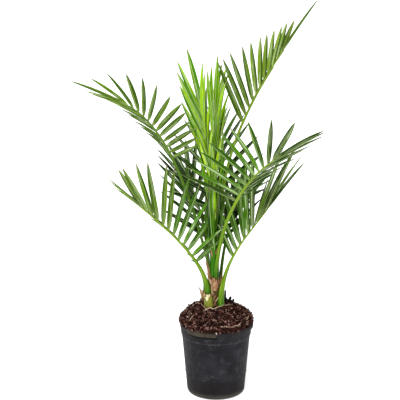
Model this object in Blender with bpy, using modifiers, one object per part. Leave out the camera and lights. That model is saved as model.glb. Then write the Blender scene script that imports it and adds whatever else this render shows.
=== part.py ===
"""A young canary island date palm in a round black nursery pot.

Everything is in metres, with +Z up and the origin at the centre of the pot's flat underside.
The palm looks towards -Y: the frond called upper right reaches along +X.
"""

import math
import random

import bmesh
import bpy
from mathutils import Matrix, Vector, noise
from mathutils.bvhtree import BVHTree

# Clearance kept between pieces that touch.
GAP = 0.0003

# Pot: a 15 cm nursery pot with a short skirt round its rim.
POT_HEIGHT = 0.148
POT_BASE_RADIUS = 0.0590
POT_TOP_RADIUS = 0.0716
POT_WALL = 0.0013
POT_FLOOR = 0.0016
POT_BASE_ROUND = 0.006
RIM_RADIUS = 0.0745
RIM_DROP = 0.0095
BAND_DROP = 0.025
BAND_STEP = 0.0007
LEDGE = 0.0010
RIM_ROUND = 0.0008
RIM_TAPER = 0.0004
FOOT_BAND_HEIGHT = 0.042
FOOT_BAND_STEP = 0.0014
POT_STEPS = 48
ROUND_STEPS = 4
DRAIN_HOLES = 8
DRAIN_RADIUS = 0.0045
DRAIN_RING = 0.036

# Soil: filled to just above the rim and heaped round the stem.
SOIL_CROWN = 0.033
SOIL_EDGE = 0.0735
SOIL_EDGE_LIFT = 0.005
SOIL_SEAT_RADIUS = 0.028
SOIL_BROW = 0.003
SOIL_LUMP = 0.0022
SOIL_LUMP_SCALE = 90
SOIL_RIPPLE_SCALE = 230
SOIL_STEPS = 48
SOIL_RINGS = 9
SOIL_SEED = 7.0

# Stem: the short swollen foot that all the fronds grow from.
STEM_X = -0.003
STEM_HEIGHT = 0.058
STEM_FOOT_RADIUS = 0.0118
STEM_TOP_RADIUS = 0.0080
STEM_FLARE = 0.0010
STEM_SIDES = 20
STEM_LEVELS = 6

# The cut leaf base: azimuth, height, half width, half depth, slope of the cut, and lean.
STUB = (-128, 0.026, 0.0110, 0.0062, -0.55, 0.001)
STUB_SIDES = 14
STUB_TAPER = 0.86

# Torn sheaths: azimuth, half angle, low and high edge, ragged depth, flare and seed.
SHEATHS = {
    "sheath_fibre_front": (-94, 34, 0.034, 0.061, 0.007, 0.0010, 3),
    "sheath_fibre_back": (88, 16, 0.030, 0.055, 0.007, 0.0010, 5),
    "sheath_fibre_left": (154, 14, 0.036, 0.060, 0.010, 0.0010, 8),
}
SHEATH_THICKNESS = 0.0008
SHEATH_LIFT = 0.0016
SHEATH_COLUMNS = 8
SHEATH_ROWS = 4

# Fronds: the section of a petiole and rachis, and the shape of a leaflet of length 1.
# SIDE_FLAT is how far the flats of a six-sided petiole stand inside its round radius.
RING = 0.0050
SIDE_FLAT = 0.0004
TUBE_POINTS = 13
PATH_STEPS = 200
BLADE_START_RADIUS = 0.0021
RACHIS_TIP_RADIUS = 0.0009
LEAFLET_STATIONS = ((0.0, 0.34), (0.28, 1.0), (0.68, 0.82), (1.0, 0.05))
LEAFLET_STAGGER = 0.3
LEAFLET_HALF_WIDTH = 0.039
LEAFLET_FOLD = 0.018
LEAFLET_THICKNESS = 0.013
LEAFLET_DROOP = 0.03
PROBE_WIDE = 1.25
PROBE_THICK = 2.0

# Natural unevenness of a leaflet's spread and lift, in degrees.
WILD = 2.5

# Small turns, in degrees of spread and lift, that a leaflet may take to pass its neighbours.
SWINGS = ((0, 0), (4, 0), (-4, 0), (0, 6), (0, -6), (8, 4), (-8, -4), (8, -6), (-8, 6),
          (13, 0), (-13, 0), (0, 14), (0, -14), (16, 12), (-16, -12), (20, 0), (-20, 0))

# Each frond rises from its foot and arches out to reach and top.
# foot is an azimuth, then the height of a foot that clasps the stem's side; without a height
# the foot stands on the stem's top, off its middle by ring.
# azimuth, rise, tip_rise, roll, spread and lift are degrees; spread and lift run base to tip.
# bare is the share of the frond's length that has no leaflets.
# sizes are the lengths of base, middle and end leaflets as shares of leaf.
# sweep and lean carry the end sideways, and variant deals the leaflets' unevenness afresh.
FRONDS = {
    "frond_front_right": dict(
        azimuth=-45, foot=(-60, None), ring=RING, reach=0.155, top=0.508, rise=87, tip_rise=34,
        hold=(0.40, 0.30), bare=0.56, pairs=10, leaf=0.109, sizes=(1.09, 1.00, 1.15),
        spread=(88, 11), close=2.1, bias=(0.92, 1.07), lift=(37, 25), roll=-27, end=1.29,
        foot_radius=0.0022, green="green"),
    "frond_lower_left": dict(
        azimuth=188, foot=(195, 0.214), reach=0.144, top=0.390, rise=90, tip_rise=48,
        hold=(0.30, 0.15), bare=0.27, pairs=12, leaf=0.128, sizes=(0.50, 1.00, 0.70),
        spread=(102, 11), close=1.4, bias=(0.81, 0.99), lift=(42, 40), roll=47, end=0.33,
        foot_radius=0.0052, green="green"),
    "frond_upper_right": dict(
        azimuth=4, foot=(0, None), ring=RING, reach=0.128, top=0.690, rise=90, tip_rise=58,
        hold=(0.45, 0.40), bare=0.67, pairs=11, leaf=0.098, sizes=(1.35, 1.00, 0.69),
        spread=(51, 8), close=1.4, bias=(1.02, 0.90), lift=(35, 40), roll=-47, end=1.22,
        foot_radius=0.0022, green="green"),
    "frond_upper_left": dict(
        azimuth=180, foot=(180, None), ring=RING, reach=0.169, top=0.587, rise=76, tip_rise=26,
        hold=(0.35, 0.25), bare=0.64, pairs=12, leaf=0.089, sizes=(0.71, 1.00, 1.05),
        spread=(76, 15), close=2.4, bias=(1.11, 0.77), lift=(27, 5), roll=47, end=1.33,
        foot_radius=0.0022, green="green"),
    "frond_lower_right": dict(
        azimuth=8, foot=(-50, 0.189), reach=0.105, top=0.376, rise=89, tip_rise=54,
        hold=(0.44, 0.30), bare=0.46, pairs=9, leaf=0.152, sizes=(0.50, 1.00, 0.90),
        spread=(69, 18), close=1.7, bias=(1.11, 0.79), lift=(51, 32), roll=-37, end=0.78,
        foot_radius=0.0052, green="green"),
    "young_frond_left": dict(
        azimuth=104, foot=(120, None), ring=RING, reach=0.021, top=0.564, rise=89, tip_rise=84,
        hold=(0.40, 0.35), bare=0.60, pairs=6, leaf=0.120, sizes=(0.67, 1.00, 0.99),
        spread=(24, 16), close=2.0, bias=(0.82, 0.73), lift=(49, 33), roll=-43, end=1.10,
        sweep=0.020, lean=10, foot_radius=0.0022, green="young"),
    "young_frond_right": dict(
        azimuth=-96, foot=(-120, None), ring=RING, reach=0.011, top=0.572, rise=89, tip_rise=86,
        hold=(0.40, 0.35), bare=0.60, pairs=8, leaf=0.126, sizes=(0.69, 1.00, 0.80),
        spread=(34, 5), close=2.0, bias=(0.94, 0.62), lift=(13, 7), roll=49, end=0.92,
        sweep=0.000, lean=3, foot_radius=0.0022, green="young"),
    "spear_leaf": dict(
        azimuth=20, foot=(0, None), ring=0.0, reach=0.006, top=0.550, rise=90, tip_rise=88,
        hold=(0.40, 0.35), bare=0.84, pairs=2, leaf=0.125, sizes=(0.9, 1.0, 0.95),
        spread=(10, 5), close=1.0, bias=(1.0, 1.0), lift=(15, 15), roll=0, end=0.95,
        foot_radius=0.0022, green="young"),
    "frond_back_left": dict(
        azimuth=116, foot=(125, 0.194), reach=0.120, top=0.410, rise=87, tip_rise=32,
        hold=(0.40, 0.35), bare=0.46, pairs=8, leaf=0.130, sizes=(0.85, 1.0, 0.8),
        spread=(76, 10), close=0.9, bias=(0.75, 1.0), lift=(25, 20), roll=-8, end=0.85,
        foot_radius=0.0034, green="dark"),
    "frond_back_right": dict(
        azimuth=58, foot=(50, 0.194), reach=0.110, top=0.375, rise=86, tip_rise=26,
        hold=(0.40, 0.35), bare=0.48, pairs=8, leaf=0.125, sizes=(0.85, 1.0, 0.8),
        spread=(76, 10), close=0.9, bias=(1.0, 0.8), lift=(32, 20), roll=0, end=0.85,
        foot_radius=0.0034, green="dark"),
    "frond_back": dict(
        azimuth=88, foot=(60, None), ring=RING, reach=0.130, top=0.480, rise=88, tip_rise=36,
        hold=(0.40, 0.35), bare=0.46, pairs=8, leaf=0.125, sizes=(0.9, 1.0, 0.8),
        spread=(84, 12), close=0.8, bias=(1.0, 1.0), lift=(34, 25), roll=0, end=0.85,
        variant="b", foot_radius=0.0022, green="dark"),
}

# Colours, roughness of each finish.
FINISHES = {
    "pot": ((0.026, 0.026, 0.031), 0.55),
    "soil": ((0.045, 0.022, 0.016), 0.95),
    "stem": ((0.16, 0.13, 0.05), 0.8),
    "fibre": ((0.36, 0.22, 0.12), 0.9),
    "stub": ((0.22, 0.26, 0.07), 0.6),
    "green": ((0.07, 0.19, 0.03), 0.45),
    "young": ((0.19, 0.42, 0.02), 0.42),
    "dark": ((0.03, 0.10, 0.03), 0.45),
}


def clear_scene():
    for item in list(bpy.data.objects):
        bpy.data.objects.remove(item, do_unlink=True)


def new_collection(name):
    group = bpy.data.collections.new(name)
    bpy.context.scene.collection.children.link(group)
    return group


def finish(name):
    """The Principled material of one finish, made once."""
    if name in bpy.data.materials:
        return bpy.data.materials[name]
    colour, roughness = FINISHES[name]
    material = bpy.data.materials.new(name)
    material.use_nodes = True
    shader = material.node_tree.nodes["Principled BSDF"]
    shader.inputs["Base Color"].default_value = (*colour, 1.0)
    shader.inputs["Roughness"].default_value = roughness
    shader.inputs["Metallic"].default_value = 0.0
    return material


def add_object(name, mesh, group, finish_name):
    item = bpy.data.objects.new(name, mesh)
    group.objects.link(item)
    item.data.materials.append(finish(finish_name))
    return item


def evaluated_mesh(item):
    """The mesh of an object with its modifiers or its bevel worked in."""
    bpy.context.view_layer.update()
    graph = bpy.context.evaluated_depsgraph_get()
    return bpy.data.meshes.new_from_object(item.evaluated_get(graph), depsgraph=graph)


def apply_modifiers(item):
    """Works an object's modifiers into its mesh."""
    mesh = evaluated_mesh(item)
    item.modifiers.clear()
    item.data = mesh


def turned(name, outline, steps, group, finish_name):
    """A shape turned about Z from an outline of (radius, height) pairs.

    The outline runs down the outer side, and each end that lies on the axis is closed there.
    """
    mesh = bpy.data.meshes.new(name)
    shape = bmesh.new()
    corners = [shape.verts.new((radius, 0.0, height)) for radius, height in outline]
    closed = outline[0][0] > 0
    for first, second in zip(corners, corners[1:]):
        shape.edges.new((first, second))
    if closed:
        shape.edges.new((corners[-1], corners[0]))
    shape.to_mesh(mesh)
    shape.free()
    item = add_object(name, mesh, group, finish_name)
    screw = item.modifiers.new("turn", "SCREW")
    screw.angle = math.tau
    screw.steps = steps
    screw.render_steps = steps
    screw.use_merge_vertices = True
    screw.merge_threshold = 0.00001
    return item


def wall_radius(height):
    """The pot wall's outer radius at a height."""
    share = height / POT_HEIGHT
    return POT_BASE_RADIUS + (POT_TOP_RADIUS - POT_BASE_RADIUS) * share


def build_pot(group, cutters):
    """A thin tapered shell with a skirt round the rim and a band below it."""
    rim_low = POT_HEIGHT - RIM_DROP
    rim_under = POT_HEIGHT - POT_WALL - LEDGE
    band_low = POT_HEIGHT - BAND_DROP
    outline = [
        (wall_radius(POT_HEIGHT) - POT_WALL, POT_HEIGHT),
        (RIM_RADIUS - RIM_ROUND, POT_HEIGHT),
        (RIM_RADIUS, POT_HEIGHT - RIM_ROUND),
        (RIM_RADIUS - RIM_TAPER, rim_low),
        (RIM_RADIUS - RIM_TAPER - POT_WALL, rim_low),
        (RIM_RADIUS - POT_WALL, rim_under),
        (wall_radius(POT_HEIGHT), rim_under),
        (wall_radius(rim_low), rim_low),
        (wall_radius(band_low), band_low),
        (wall_radius(band_low) - BAND_STEP, band_low - LEDGE),
        (wall_radius(FOOT_BAND_HEIGHT) - BAND_STEP, FOOT_BAND_HEIGHT),
        (wall_radius(FOOT_BAND_HEIGHT) - FOOT_BAND_STEP, FOOT_BAND_HEIGHT - LEDGE),
    ]
    base = wall_radius(POT_BASE_ROUND) - FOOT_BAND_STEP
    quarter = math.pi / 2
    for step in range(ROUND_STEPS + 1):
        angle = quarter * step / ROUND_STEPS
        outline.append((base - POT_BASE_ROUND * (1 - math.cos(angle)),
                        POT_BASE_ROUND * (1 - math.sin(angle))))
    outline.append((0.0, 0.0))
    outline.append((0.0, POT_FLOOR))
    inner = POT_BASE_ROUND - POT_WALL
    for step in range(ROUND_STEPS, -1, -1):
        angle = quarter * step / ROUND_STEPS
        outline.append((base - POT_WALL - inner * (1 - math.cos(angle)),
                        POT_FLOOR + inner * (1 - math.sin(angle))))
    outline.append((wall_radius(FOOT_BAND_HEIGHT) - BAND_STEP - POT_WALL, FOOT_BAND_HEIGHT))
    outline.append((wall_radius(band_low) - BAND_STEP - POT_WALL, band_low))
    pot = turned("pot", outline, POT_STEPS, group, "pot")
    apply_modifiers(pot)
    weld(pot.data)
    drill = bmesh.new()
    for index in range(DRAIN_HOLES):
        angle = math.tau * (index + 0.5) / DRAIN_HOLES
        place = Matrix.Translation((DRAIN_RING * math.cos(angle), DRAIN_RING * math.sin(angle), 0))
        bmesh.ops.create_cone(drill, cap_ends=True, segments=12, radius1=DRAIN_RADIUS,
                              radius2=DRAIN_RADIUS, depth=4 * POT_FLOOR, matrix=place)
    mesh = bpy.data.meshes.new("drain_drill")
    drill.to_mesh(mesh)
    drill.free()
    cutter = bpy.data.objects.new("drain_drill", mesh)
    cutters.objects.link(cutter)
    cutter.hide_render = True
    cutter.display_type = "WIRE"
    holes = pot.modifiers.new("drain_holes", "BOOLEAN")
    holes.operation = "DIFFERENCE"
    holes.object = cutter
    apply_modifiers(pot)
    pot.data.shade_smooth()
    pot.data.set_sharp_from_angle(angle=math.radians(35))
    return pot


def weld(mesh, distance=0.000001):
    """Merges a mesh's doubled points."""
    shape = bmesh.new()
    shape.from_mesh(mesh)
    bmesh.ops.remove_doubles(shape, verts=shape.verts, dist=distance)
    bmesh.ops.recalc_face_normals(shape, faces=shape.faces)
    shape.to_mesh(mesh)
    shape.free()


def soil_height(radius):
    """Height of the smooth heap at a distance from the stem."""
    share = max(0.0, (radius - SOIL_SEAT_RADIUS) / (SOIL_EDGE - SOIL_SEAT_RADIUS))
    fall = SOIL_CROWN - SOIL_EDGE_LIFT
    return POT_HEIGHT + SOIL_EDGE_LIFT + fall * math.sqrt(max(0.0, 1 - share))


def build_soil(group):
    """The pot's filling, one solid from the floor to the heap over the rim."""
    outline = [(0.0, soil_height(0.0))]
    for ring in range(SOIL_RINGS):
        share = math.sin(math.pi / 2 * ring / (SOIL_RINGS - 1))
        radius = SOIL_SEAT_RADIUS + (SOIL_EDGE - SOIL_SEAT_RADIUS) * share
        outline.append((radius, soil_height(radius)))
    outline.append((SOIL_EDGE - SOIL_BROW / 3, POT_HEIGHT + GAP + SOIL_BROW / 3))
    outline.append((SOIL_EDGE - SOIL_BROW, POT_HEIGHT + GAP))
    inner_top = wall_radius(POT_HEIGHT) - POT_WALL - BAND_STEP - 2 * GAP
    outline.append((inner_top, POT_HEIGHT + GAP))
    inner_low = wall_radius(POT_BASE_ROUND) - FOOT_BAND_STEP - POT_WALL - GAP
    outline.append((inner_low, POT_BASE_ROUND + POT_FLOOR))
    outline.append((inner_low - POT_BASE_ROUND, POT_FLOOR + GAP))
    outline.append((0.0, POT_FLOOR + GAP))
    soil = turned("soil", outline, SOIL_STEPS, group, "soil")
    apply_modifiers(soil)
    weld(soil.data)
    floor = POT_HEIGHT + SOIL_EDGE_LIFT * 0.5
    for point in soil.data.vertices:
        radius = math.hypot(point.co.x, point.co.y)
        if point.co.z < floor or radius < SOIL_SEAT_RADIUS * 1.02:
            continue
        lump = noise.noise(Vector((point.co.x, point.co.y, SOIL_SEED)) * SOIL_LUMP_SCALE)
        ripple = noise.noise(Vector((point.co.x, point.co.y, SOIL_SEED)) * SOIL_RIPPLE_SCALE)
        point.co.z += SOIL_LUMP * (lump + 0.5 * ripple)
    soil.data.shade_smooth()
    return soil


def stem_radius(height):
    """The stem's radius at a height above its foot: a lean taper with a short flare below."""
    share = height / STEM_HEIGHT
    taper = STEM_FOOT_RADIUS + (STEM_TOP_RADIUS - STEM_FOOT_RADIUS) * share ** 1.6
    return taper + STEM_FLARE * (1 - share) ** 4


def stem_foot():
    return POT_HEIGHT + SOIL_CROWN + GAP


def build_stem(group):
    """A short swollen column with a flat foot, where the leaf bases crowd together."""
    foot = stem_foot()
    outline = [(0.0, foot + STEM_HEIGHT)]
    for level in range(STEM_LEVELS, -1, -1):
        height = STEM_HEIGHT * level / STEM_LEVELS
        outline.append((stem_radius(height), foot + height))
    outline.append((0.0, foot))
    stem = turned("stem", outline, STEM_SIDES, group, "stem")
    apply_modifiers(stem)
    weld(stem.data)
    for point in stem.data.vertices:
        point.co.x += STEM_X
    stem.data.shade_smooth()
    stem.data.set_sharp_from_angle(angle=math.radians(50))
    return stem


def build_stub(name, group):
    """A cut leaf base: a flat oval stump that stands on the soil against the stem."""
    azimuth, height, half_width, half_depth, slope, tilt = STUB
    bpy.ops.mesh.primitive_cylinder_add(vertices=STUB_SIDES, radius=1.0, depth=1.0)
    stub = bpy.context.object
    stub.name = name
    stub.data.name = name
    for point in stub.data.vertices:
        top = point.co.z > 0
        size = STUB_TAPER if top else 1.0
        point.co.x *= half_depth * size
        point.co.y *= half_width * size
        point.co.z = height + slope * point.co.x if top else 0.0
        if top:
            point.co.x += tilt
    a = math.radians(azimuth)
    reach = stem_radius(0.0) + GAP + half_depth
    stub.rotation_euler = (0, 0, a)
    stub.location = (STEM_X + reach * math.cos(a), reach * math.sin(a), stem_foot())
    for owner in list(stub.users_collection):
        owner.objects.unlink(stub)
    group.objects.link(stub)
    stub.data.materials.append(finish("stub"))
    stub.data.shade_smooth()
    stub.data.set_sharp_from_angle(angle=math.radians(40))
    return stub


def build_sheath(name, group):
    """A torn scrap of brown leaf sheath: a thin curved sheet that hugs the stem."""
    azimuth, half_angle, low, high, ragged, flare, seed = SHEATHS[name]
    shape = bmesh.new()
    bmesh.ops.create_grid(shape, x_segments=SHEATH_COLUMNS, y_segments=SHEATH_ROWS, size=1.0)
    rule = random.Random(seed)
    teeth = [rule.uniform(0.0, ragged) for _ in range(SHEATH_COLUMNS + 1)]
    foot = stem_foot()
    for point in shape.verts:
        column = round((point.co.x + 1) / 2 * SHEATH_COLUMNS)
        level = (point.co.y + 1) / 2
        angle = math.radians(azimuth + half_angle * point.co.x * (1 - 0.25 * level))
        height = low + (high - low) * level + teeth[column] * level
        radius = stem_radius(min(height, STEM_HEIGHT)) + GAP + flare * level ** 3
        radius += SHEATH_LIFT * (1 - level) ** 3
        point.co = (STEM_X + radius * math.cos(angle), radius * math.sin(angle), foot + height)
    bmesh.ops.recalc_face_normals(shape, faces=shape.faces)
    mesh = bpy.data.meshes.new(name)
    shape.to_mesh(mesh)
    shape.free()
    sheet = add_object(name, mesh, group, "fibre")
    middle = mesh.polygons[len(mesh.polygons) // 2]
    outward = middle.normal.dot(Vector((math.cos(math.radians(azimuth)),
                                        math.sin(math.radians(azimuth)), 0)))
    if outward < 0:
        mesh.flip_normals()
    thick = sheet.modifiers.new("thickness", "SOLIDIFY")
    thick.thickness = SHEATH_THICKNESS
    thick.offset = 1.0
    mesh.shade_smooth()
    return sheet


def frond_foot(frond):
    """The middle of a frond's foot, just clear of the stem that it grows from."""
    turn = math.radians(frond["foot"][0])
    height = frond["foot"][1]
    thick = frond["foot_radius"]
    if height is None:
        distance = frond["ring"]
        dip = thick * math.cos(math.radians(frond["rise"]))
        height = stem_foot() + STEM_HEIGHT + GAP + abs(dip)
    else:
        distance = stem_radius(height - stem_foot()) + GAP + thick - SIDE_FLAT
    return Vector((STEM_X + distance * math.cos(turn), distance * math.sin(turn), height))


def rachis_curve(frond, points):
    """Places and directions along a frond's rachis, evenly spread along its length."""
    azimuth = math.radians(frond["azimuth"])
    out = Vector((math.cos(azimuth), math.sin(azimuth), 0))
    across = Vector((-math.sin(azimuth), math.cos(azimuth), 0))
    up = Vector((0, 0, 1))
    axis = Vector((STEM_X, 0, 0))
    start = frond_foot(frond)
    end = axis + out * frond["reach"] + across * frond.get("sweep", 0) + up * frond["top"]
    chord = (end - start).length
    rise = math.radians(frond["rise"])
    tip_rise = math.radians(frond["tip_rise"])
    lean = math.tan(math.radians(frond.get("lean", 0)))
    first = out * math.cos(rise) + up * math.sin(rise)
    last = (out * math.cos(tip_rise) + up * math.sin(tip_rise) + across * lean).normalized()
    handle_start = start + first * chord * frond["hold"][0]
    handle_end = end - last * chord * frond["hold"][1]
    path = []
    for step in range(PATH_STEPS + 1):
        t = step / PATH_STEPS
        path.append(start * (1 - t) ** 3 + handle_start * 3 * t * (1 - t) ** 2
                    + handle_end * 3 * t * t * (1 - t) + end * t ** 3)
    lengths = [0.0]
    for first_point, second_point in zip(path, path[1:]):
        lengths.append(lengths[-1] + (second_point - first_point).length)
    places = []
    index = 0
    for share in points:
        target = share * lengths[-1]
        while index < PATH_STEPS - 1 and lengths[index + 1] < target:
            index += 1
        span = lengths[index + 1] - lengths[index]
        part = (target - lengths[index]) / span
        place = path[index].lerp(path[index + 1], part)
        places.append((place, (path[index + 1] - path[index]).normalized()))
    return places, across


def rachis_radius(frond, share):
    """A frond's half thickness at a share of its length: stout foot, slim petiole, fine tip."""
    bare = frond["bare"]
    if share < bare:
        swell = frond["foot_radius"] - BLADE_START_RADIUS
        return BLADE_START_RADIUS + swell * (1 - share / bare) ** 1.5
    part = (share - bare) / (1 - bare)
    return BLADE_START_RADIUS + (RACHIS_TIP_RADIUS - BLADE_START_RADIUS) * part


def build_rachis(name, frond, group):
    """Petiole and rachis in one: a tapering tube along the frond's curve."""
    shares = [step / (TUBE_POINTS - 1) for step in range(TUBE_POINTS)]
    places, _ = rachis_curve(frond, shares)
    curve = bpy.data.curves.new(name, "CURVE")
    curve.dimensions = "3D"
    curve.bevel_depth = 1.0
    curve.bevel_resolution = 1
    curve.use_fill_caps = True
    spline = curve.splines.new("POLY")
    spline.points.add(TUBE_POINTS - 1)
    for point, share, (place, _) in zip(spline.points, shares, places):
        point.co = (*place, 1.0)
        point.radius = rachis_radius(frond, share)
    tube = bpy.data.objects.new(name + "_tube", curve)
    group.objects.link(tube)
    mesh = evaluated_mesh(tube)
    mesh.materials.clear()
    bpy.data.objects.remove(tube, do_unlink=True)
    weld(mesh)
    return add_object(name, mesh, group, frond["green"])


def leaflet_mesh(name, wide=1.0, thick=1.0):
    """A leaflet of length 1 along +X: a folded blade, widest near a third of its length.

    It starts as a four-sided prism, cut across at the stations and then shaped.
    """
    shape = bmesh.new()
    bmesh.ops.create_cone(shape, cap_ends=True, segments=4, radius1=1, radius2=1, depth=1,
                          matrix=Matrix.Translation((0, 0, 0.5)))
    for station, _ in LEAFLET_STATIONS[1:-1]:
        whole = shape.verts[:] + shape.edges[:] + shape.faces[:]
        bmesh.ops.bisect_plane(shape, geom=whole, plane_co=(0, 0, station), plane_no=(0, 0, 1))
    widths = dict(LEAFLET_STATIONS)
    for point in shape.verts:
        along = min(widths, key=lambda station: abs(station - point.co.z))
        width = widths[along]
        side = round(point.co.x)
        face = round(point.co.y)
        across = LEAFLET_HALF_WIDTH * width * side * wide
        fold = LEAFLET_FOLD * width * (abs(side) - 0.4)
        rise = LEAFLET_THICKNESS * 0.5 * face * max(width, 0.2) * thick
        bow = LEAFLET_DROOP * (along - along ** 2 * 2)
        point.co = (along, -across, fold + rise + bow)
    mesh = bpy.data.meshes.new(name)
    bmesh.ops.recalc_face_normals(shape, faces=shape.faces)
    shape.to_mesh(mesh)
    shape.free()
    return mesh


def leaflet_place(frond, place, along, across, share, side, swing):
    """The matrix that carries the leaflet of length 1 to its place on the rachis."""
    flank = (across - along * across.dot(along)).normalized()
    crown = along.cross(flank)
    roll = math.radians(frond["roll"])
    flank, crown = (flank * math.cos(roll) + crown * math.sin(roll),
                    crown * math.cos(roll) - flank * math.sin(roll))
    spread_base, spread_tip = frond["spread"]
    spread_base *= frond["bias"][0 if side > 0 else 1]
    spread = spread_base + (spread_tip - spread_base) * share ** frond["close"] + swing[0]
    lift = frond["lift"][0] + (frond["lift"][1] - frond["lift"][0]) * share + swing[1]
    spread = math.radians(max(spread, 1.0))
    lift = math.radians(lift)
    away = flank * math.cos(lift) * side + crown * math.sin(lift)
    point = along * math.cos(spread) + away * math.sin(spread)
    base, middle, end = frond["sizes"]
    size = (base * (1 - share) * (1 - 2 * share) + 4 * middle * share * (1 - share)
            + end * share * (2 * share - 1))
    upper = (crown * math.cos(lift) - flank * math.sin(lift) * side)
    upper = (upper - point * upper.dot(point)).normalized()
    return placed(place, point, upper, frond["leaf"] * size)


def placed(place, point, upper, length):
    """A matrix with X along point and Z along upper, scaled evenly to length."""
    wide = upper.cross(point)
    turn = Matrix((point, wide, upper)).transposed().to_4x4()
    return Matrix.Translation(place) @ turn @ Matrix.Scale(length, 4)


def tree_of(mesh, matrix=Matrix.Identity(4)):
    """A search tree over a mesh's faces, for finding what it would touch."""
    corners = [matrix @ point.co for point in mesh.vertices]
    return BVHTree.FromPolygons(corners, [list(face.vertices) for face in mesh.polygons])


def leaflet_plan(name, frond):
    """Share along the blade, side, and small natural turn of every leaflet of a frond."""
    rule = random.Random(name + frond.get("variant", ""))
    plan = []
    pairs = frond["pairs"]
    for pair in range(pairs):
        for side, stagger in ((1, LEAFLET_STAGGER), (-1, 0.0)):
            sway = (rule.uniform(-WILD, WILD), rule.uniform(-WILD, WILD))
            plan.append(((pair + stagger) / (pairs - 0.5), side, sway))
    return plan


def build_frond(name, frond, rachis, blade, probe, obstacles, helpers):
    """Sets a frond's leaflets along its rachis and joins them to it.

    The probe is a slightly larger leaflet. Where it would touch a neighbour at every small turn,
    the leaflet is skipped.
    """
    plan = leaflet_plan(name, frond)
    shares = [frond["bare"] + (1 - frond["bare"]) * share for share, _, _ in plan]
    order = sorted(range(len(plan)), key=lambda index: shares[index])
    places, across = rachis_curve(frond, [shares[index] for index in order])
    mine = []
    dropped = 0
    for index, (place, along) in zip(order, places):
        share, side, sway = plan[index]
        for swing in SWINGS:
            turn = (swing[0] + sway[0], swing[1] + sway[1])
            matrix = leaflet_place(frond, place, along, across, share, side, turn)
            test = tree_of(probe, matrix)
            if not any(test.overlap(tree) for tree in obstacles):
                mine.append(matrix)
                break
        else:
            dropped += 1
    (place, along), = rachis_curve(frond, [1.0])[0]
    flank = (across - along * across.dot(along)).normalized()
    last = placed(place, along, along.cross(flank), frond["leaf"] * frond["end"])
    if any(tree_of(probe, last).overlap(tree) for tree in obstacles):
        dropped += 1
    else:
        mine.append(last)
    print(name, "leaflets", len(mine), "dropped", dropped)
    for number, matrix in enumerate(mine):
        leaf = bpy.data.objects.new(f"{name}_leaflet_{number}", blade.copy())
        leaf.data.transform(matrix)
        helpers.objects.link(leaf)
    join = rachis.modifiers.new("leaflets", "BOOLEAN")
    join.operation = "UNION"
    join.operand_type = "COLLECTION"
    join.collection = helpers
    apply_modifiers(rachis)
    for leaf in list(helpers.objects):
        bpy.data.objects.remove(leaf, do_unlink=True)
    tidy_mass(rachis.data)
    rachis.data.shade_flat()
    return [tree_of(probe, matrix) for matrix in mine]


def tidy_mass(mesh):
    """Drops every loose scrap and keeps the largest body."""
    shape = bmesh.new()
    shape.from_mesh(mesh)
    islands = []
    left = set(shape.verts)
    while left:
        island = set()
        todo = [left.pop()]
        while todo:
            point = todo.pop()
            island.add(point)
            for edge in point.link_edges:
                other = edge.other_vert(point)
                if other in left:
                    left.remove(other)
                    todo.append(other)
        islands.append(island)
    islands.sort(key=len, reverse=True)
    scraps = [point for island in islands[1:] for point in island]
    bmesh.ops.delete(shape, geom=scraps, context="VERTS")
    shape.to_mesh(mesh)
    shape.free()


def main():
    clear_scene()
    palm = new_collection("potted_palm")
    cutters = new_collection("cutters")
    helpers = new_collection("leaflets")
    build_pot(palm, cutters)
    soil = build_soil(palm)
    stem = build_stem(palm)
    solids = [soil, stem]
    solids.append(build_stub("cut_leaf_base_front", palm))
    for name in SHEATHS:
        solids.append(build_sheath(name, palm))
    blade = leaflet_mesh("leaflet")
    probe = leaflet_mesh("leaflet_probe", PROBE_WIDE, PROBE_THICK)
    rachises = {name: build_rachis(name, frond, palm) for name, frond in FRONDS.items()}
    bpy.context.view_layer.update()
    fixed = []
    for item in solids:
        mesh = evaluated_mesh(item)
        fixed.append(tree_of(mesh, item.matrix_world))
    stalks = {name: tree_of(item.data) for name, item in rachises.items()}
    grown = {}
    for name, frond in FRONDS.items():
        obstacles = list(fixed)
        obstacles += [tree for other, tree in stalks.items() if other != name]
        for trees in grown.values():
            obstacles += trees
        grown[name] = build_frond(name, frond, rachises[name], blade, probe, obstacles, helpers)
    bpy.data.collections.remove(helpers)


main()
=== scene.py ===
"""A young canary island date palm in a black nursery pot, made piece by piece from the pot up.

Everything is in metres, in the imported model's frame: +Z up, the pot's flat underside at 0.
"""

import math
import random
from collections import namedtuple

import bpy
import numpy as np
from mathutils import Matrix, Vector, noise
from mathutils.bvhtree import BVHTree


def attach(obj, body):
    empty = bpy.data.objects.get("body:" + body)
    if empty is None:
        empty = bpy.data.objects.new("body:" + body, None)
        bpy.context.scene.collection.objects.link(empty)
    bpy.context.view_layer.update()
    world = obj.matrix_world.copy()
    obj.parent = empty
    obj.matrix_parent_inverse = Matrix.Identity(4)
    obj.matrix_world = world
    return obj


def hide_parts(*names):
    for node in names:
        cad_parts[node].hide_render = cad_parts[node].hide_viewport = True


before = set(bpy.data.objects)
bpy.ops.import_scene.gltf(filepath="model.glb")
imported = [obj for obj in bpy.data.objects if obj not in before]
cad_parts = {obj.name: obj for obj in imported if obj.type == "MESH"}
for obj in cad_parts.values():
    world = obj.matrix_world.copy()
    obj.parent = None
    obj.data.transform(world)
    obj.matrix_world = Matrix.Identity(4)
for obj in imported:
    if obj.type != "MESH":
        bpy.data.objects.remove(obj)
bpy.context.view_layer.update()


# Pot.
# A thin nursery pot of black moulded plastic, worn at its ledges and ribs, dusted with dry soil.
# It is moulded in one: rounded foot, recessed panels between four ribs, band and folded lip.
# The lip is squeezed almost flat at the front right and stands proud on both sides of that.

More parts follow.
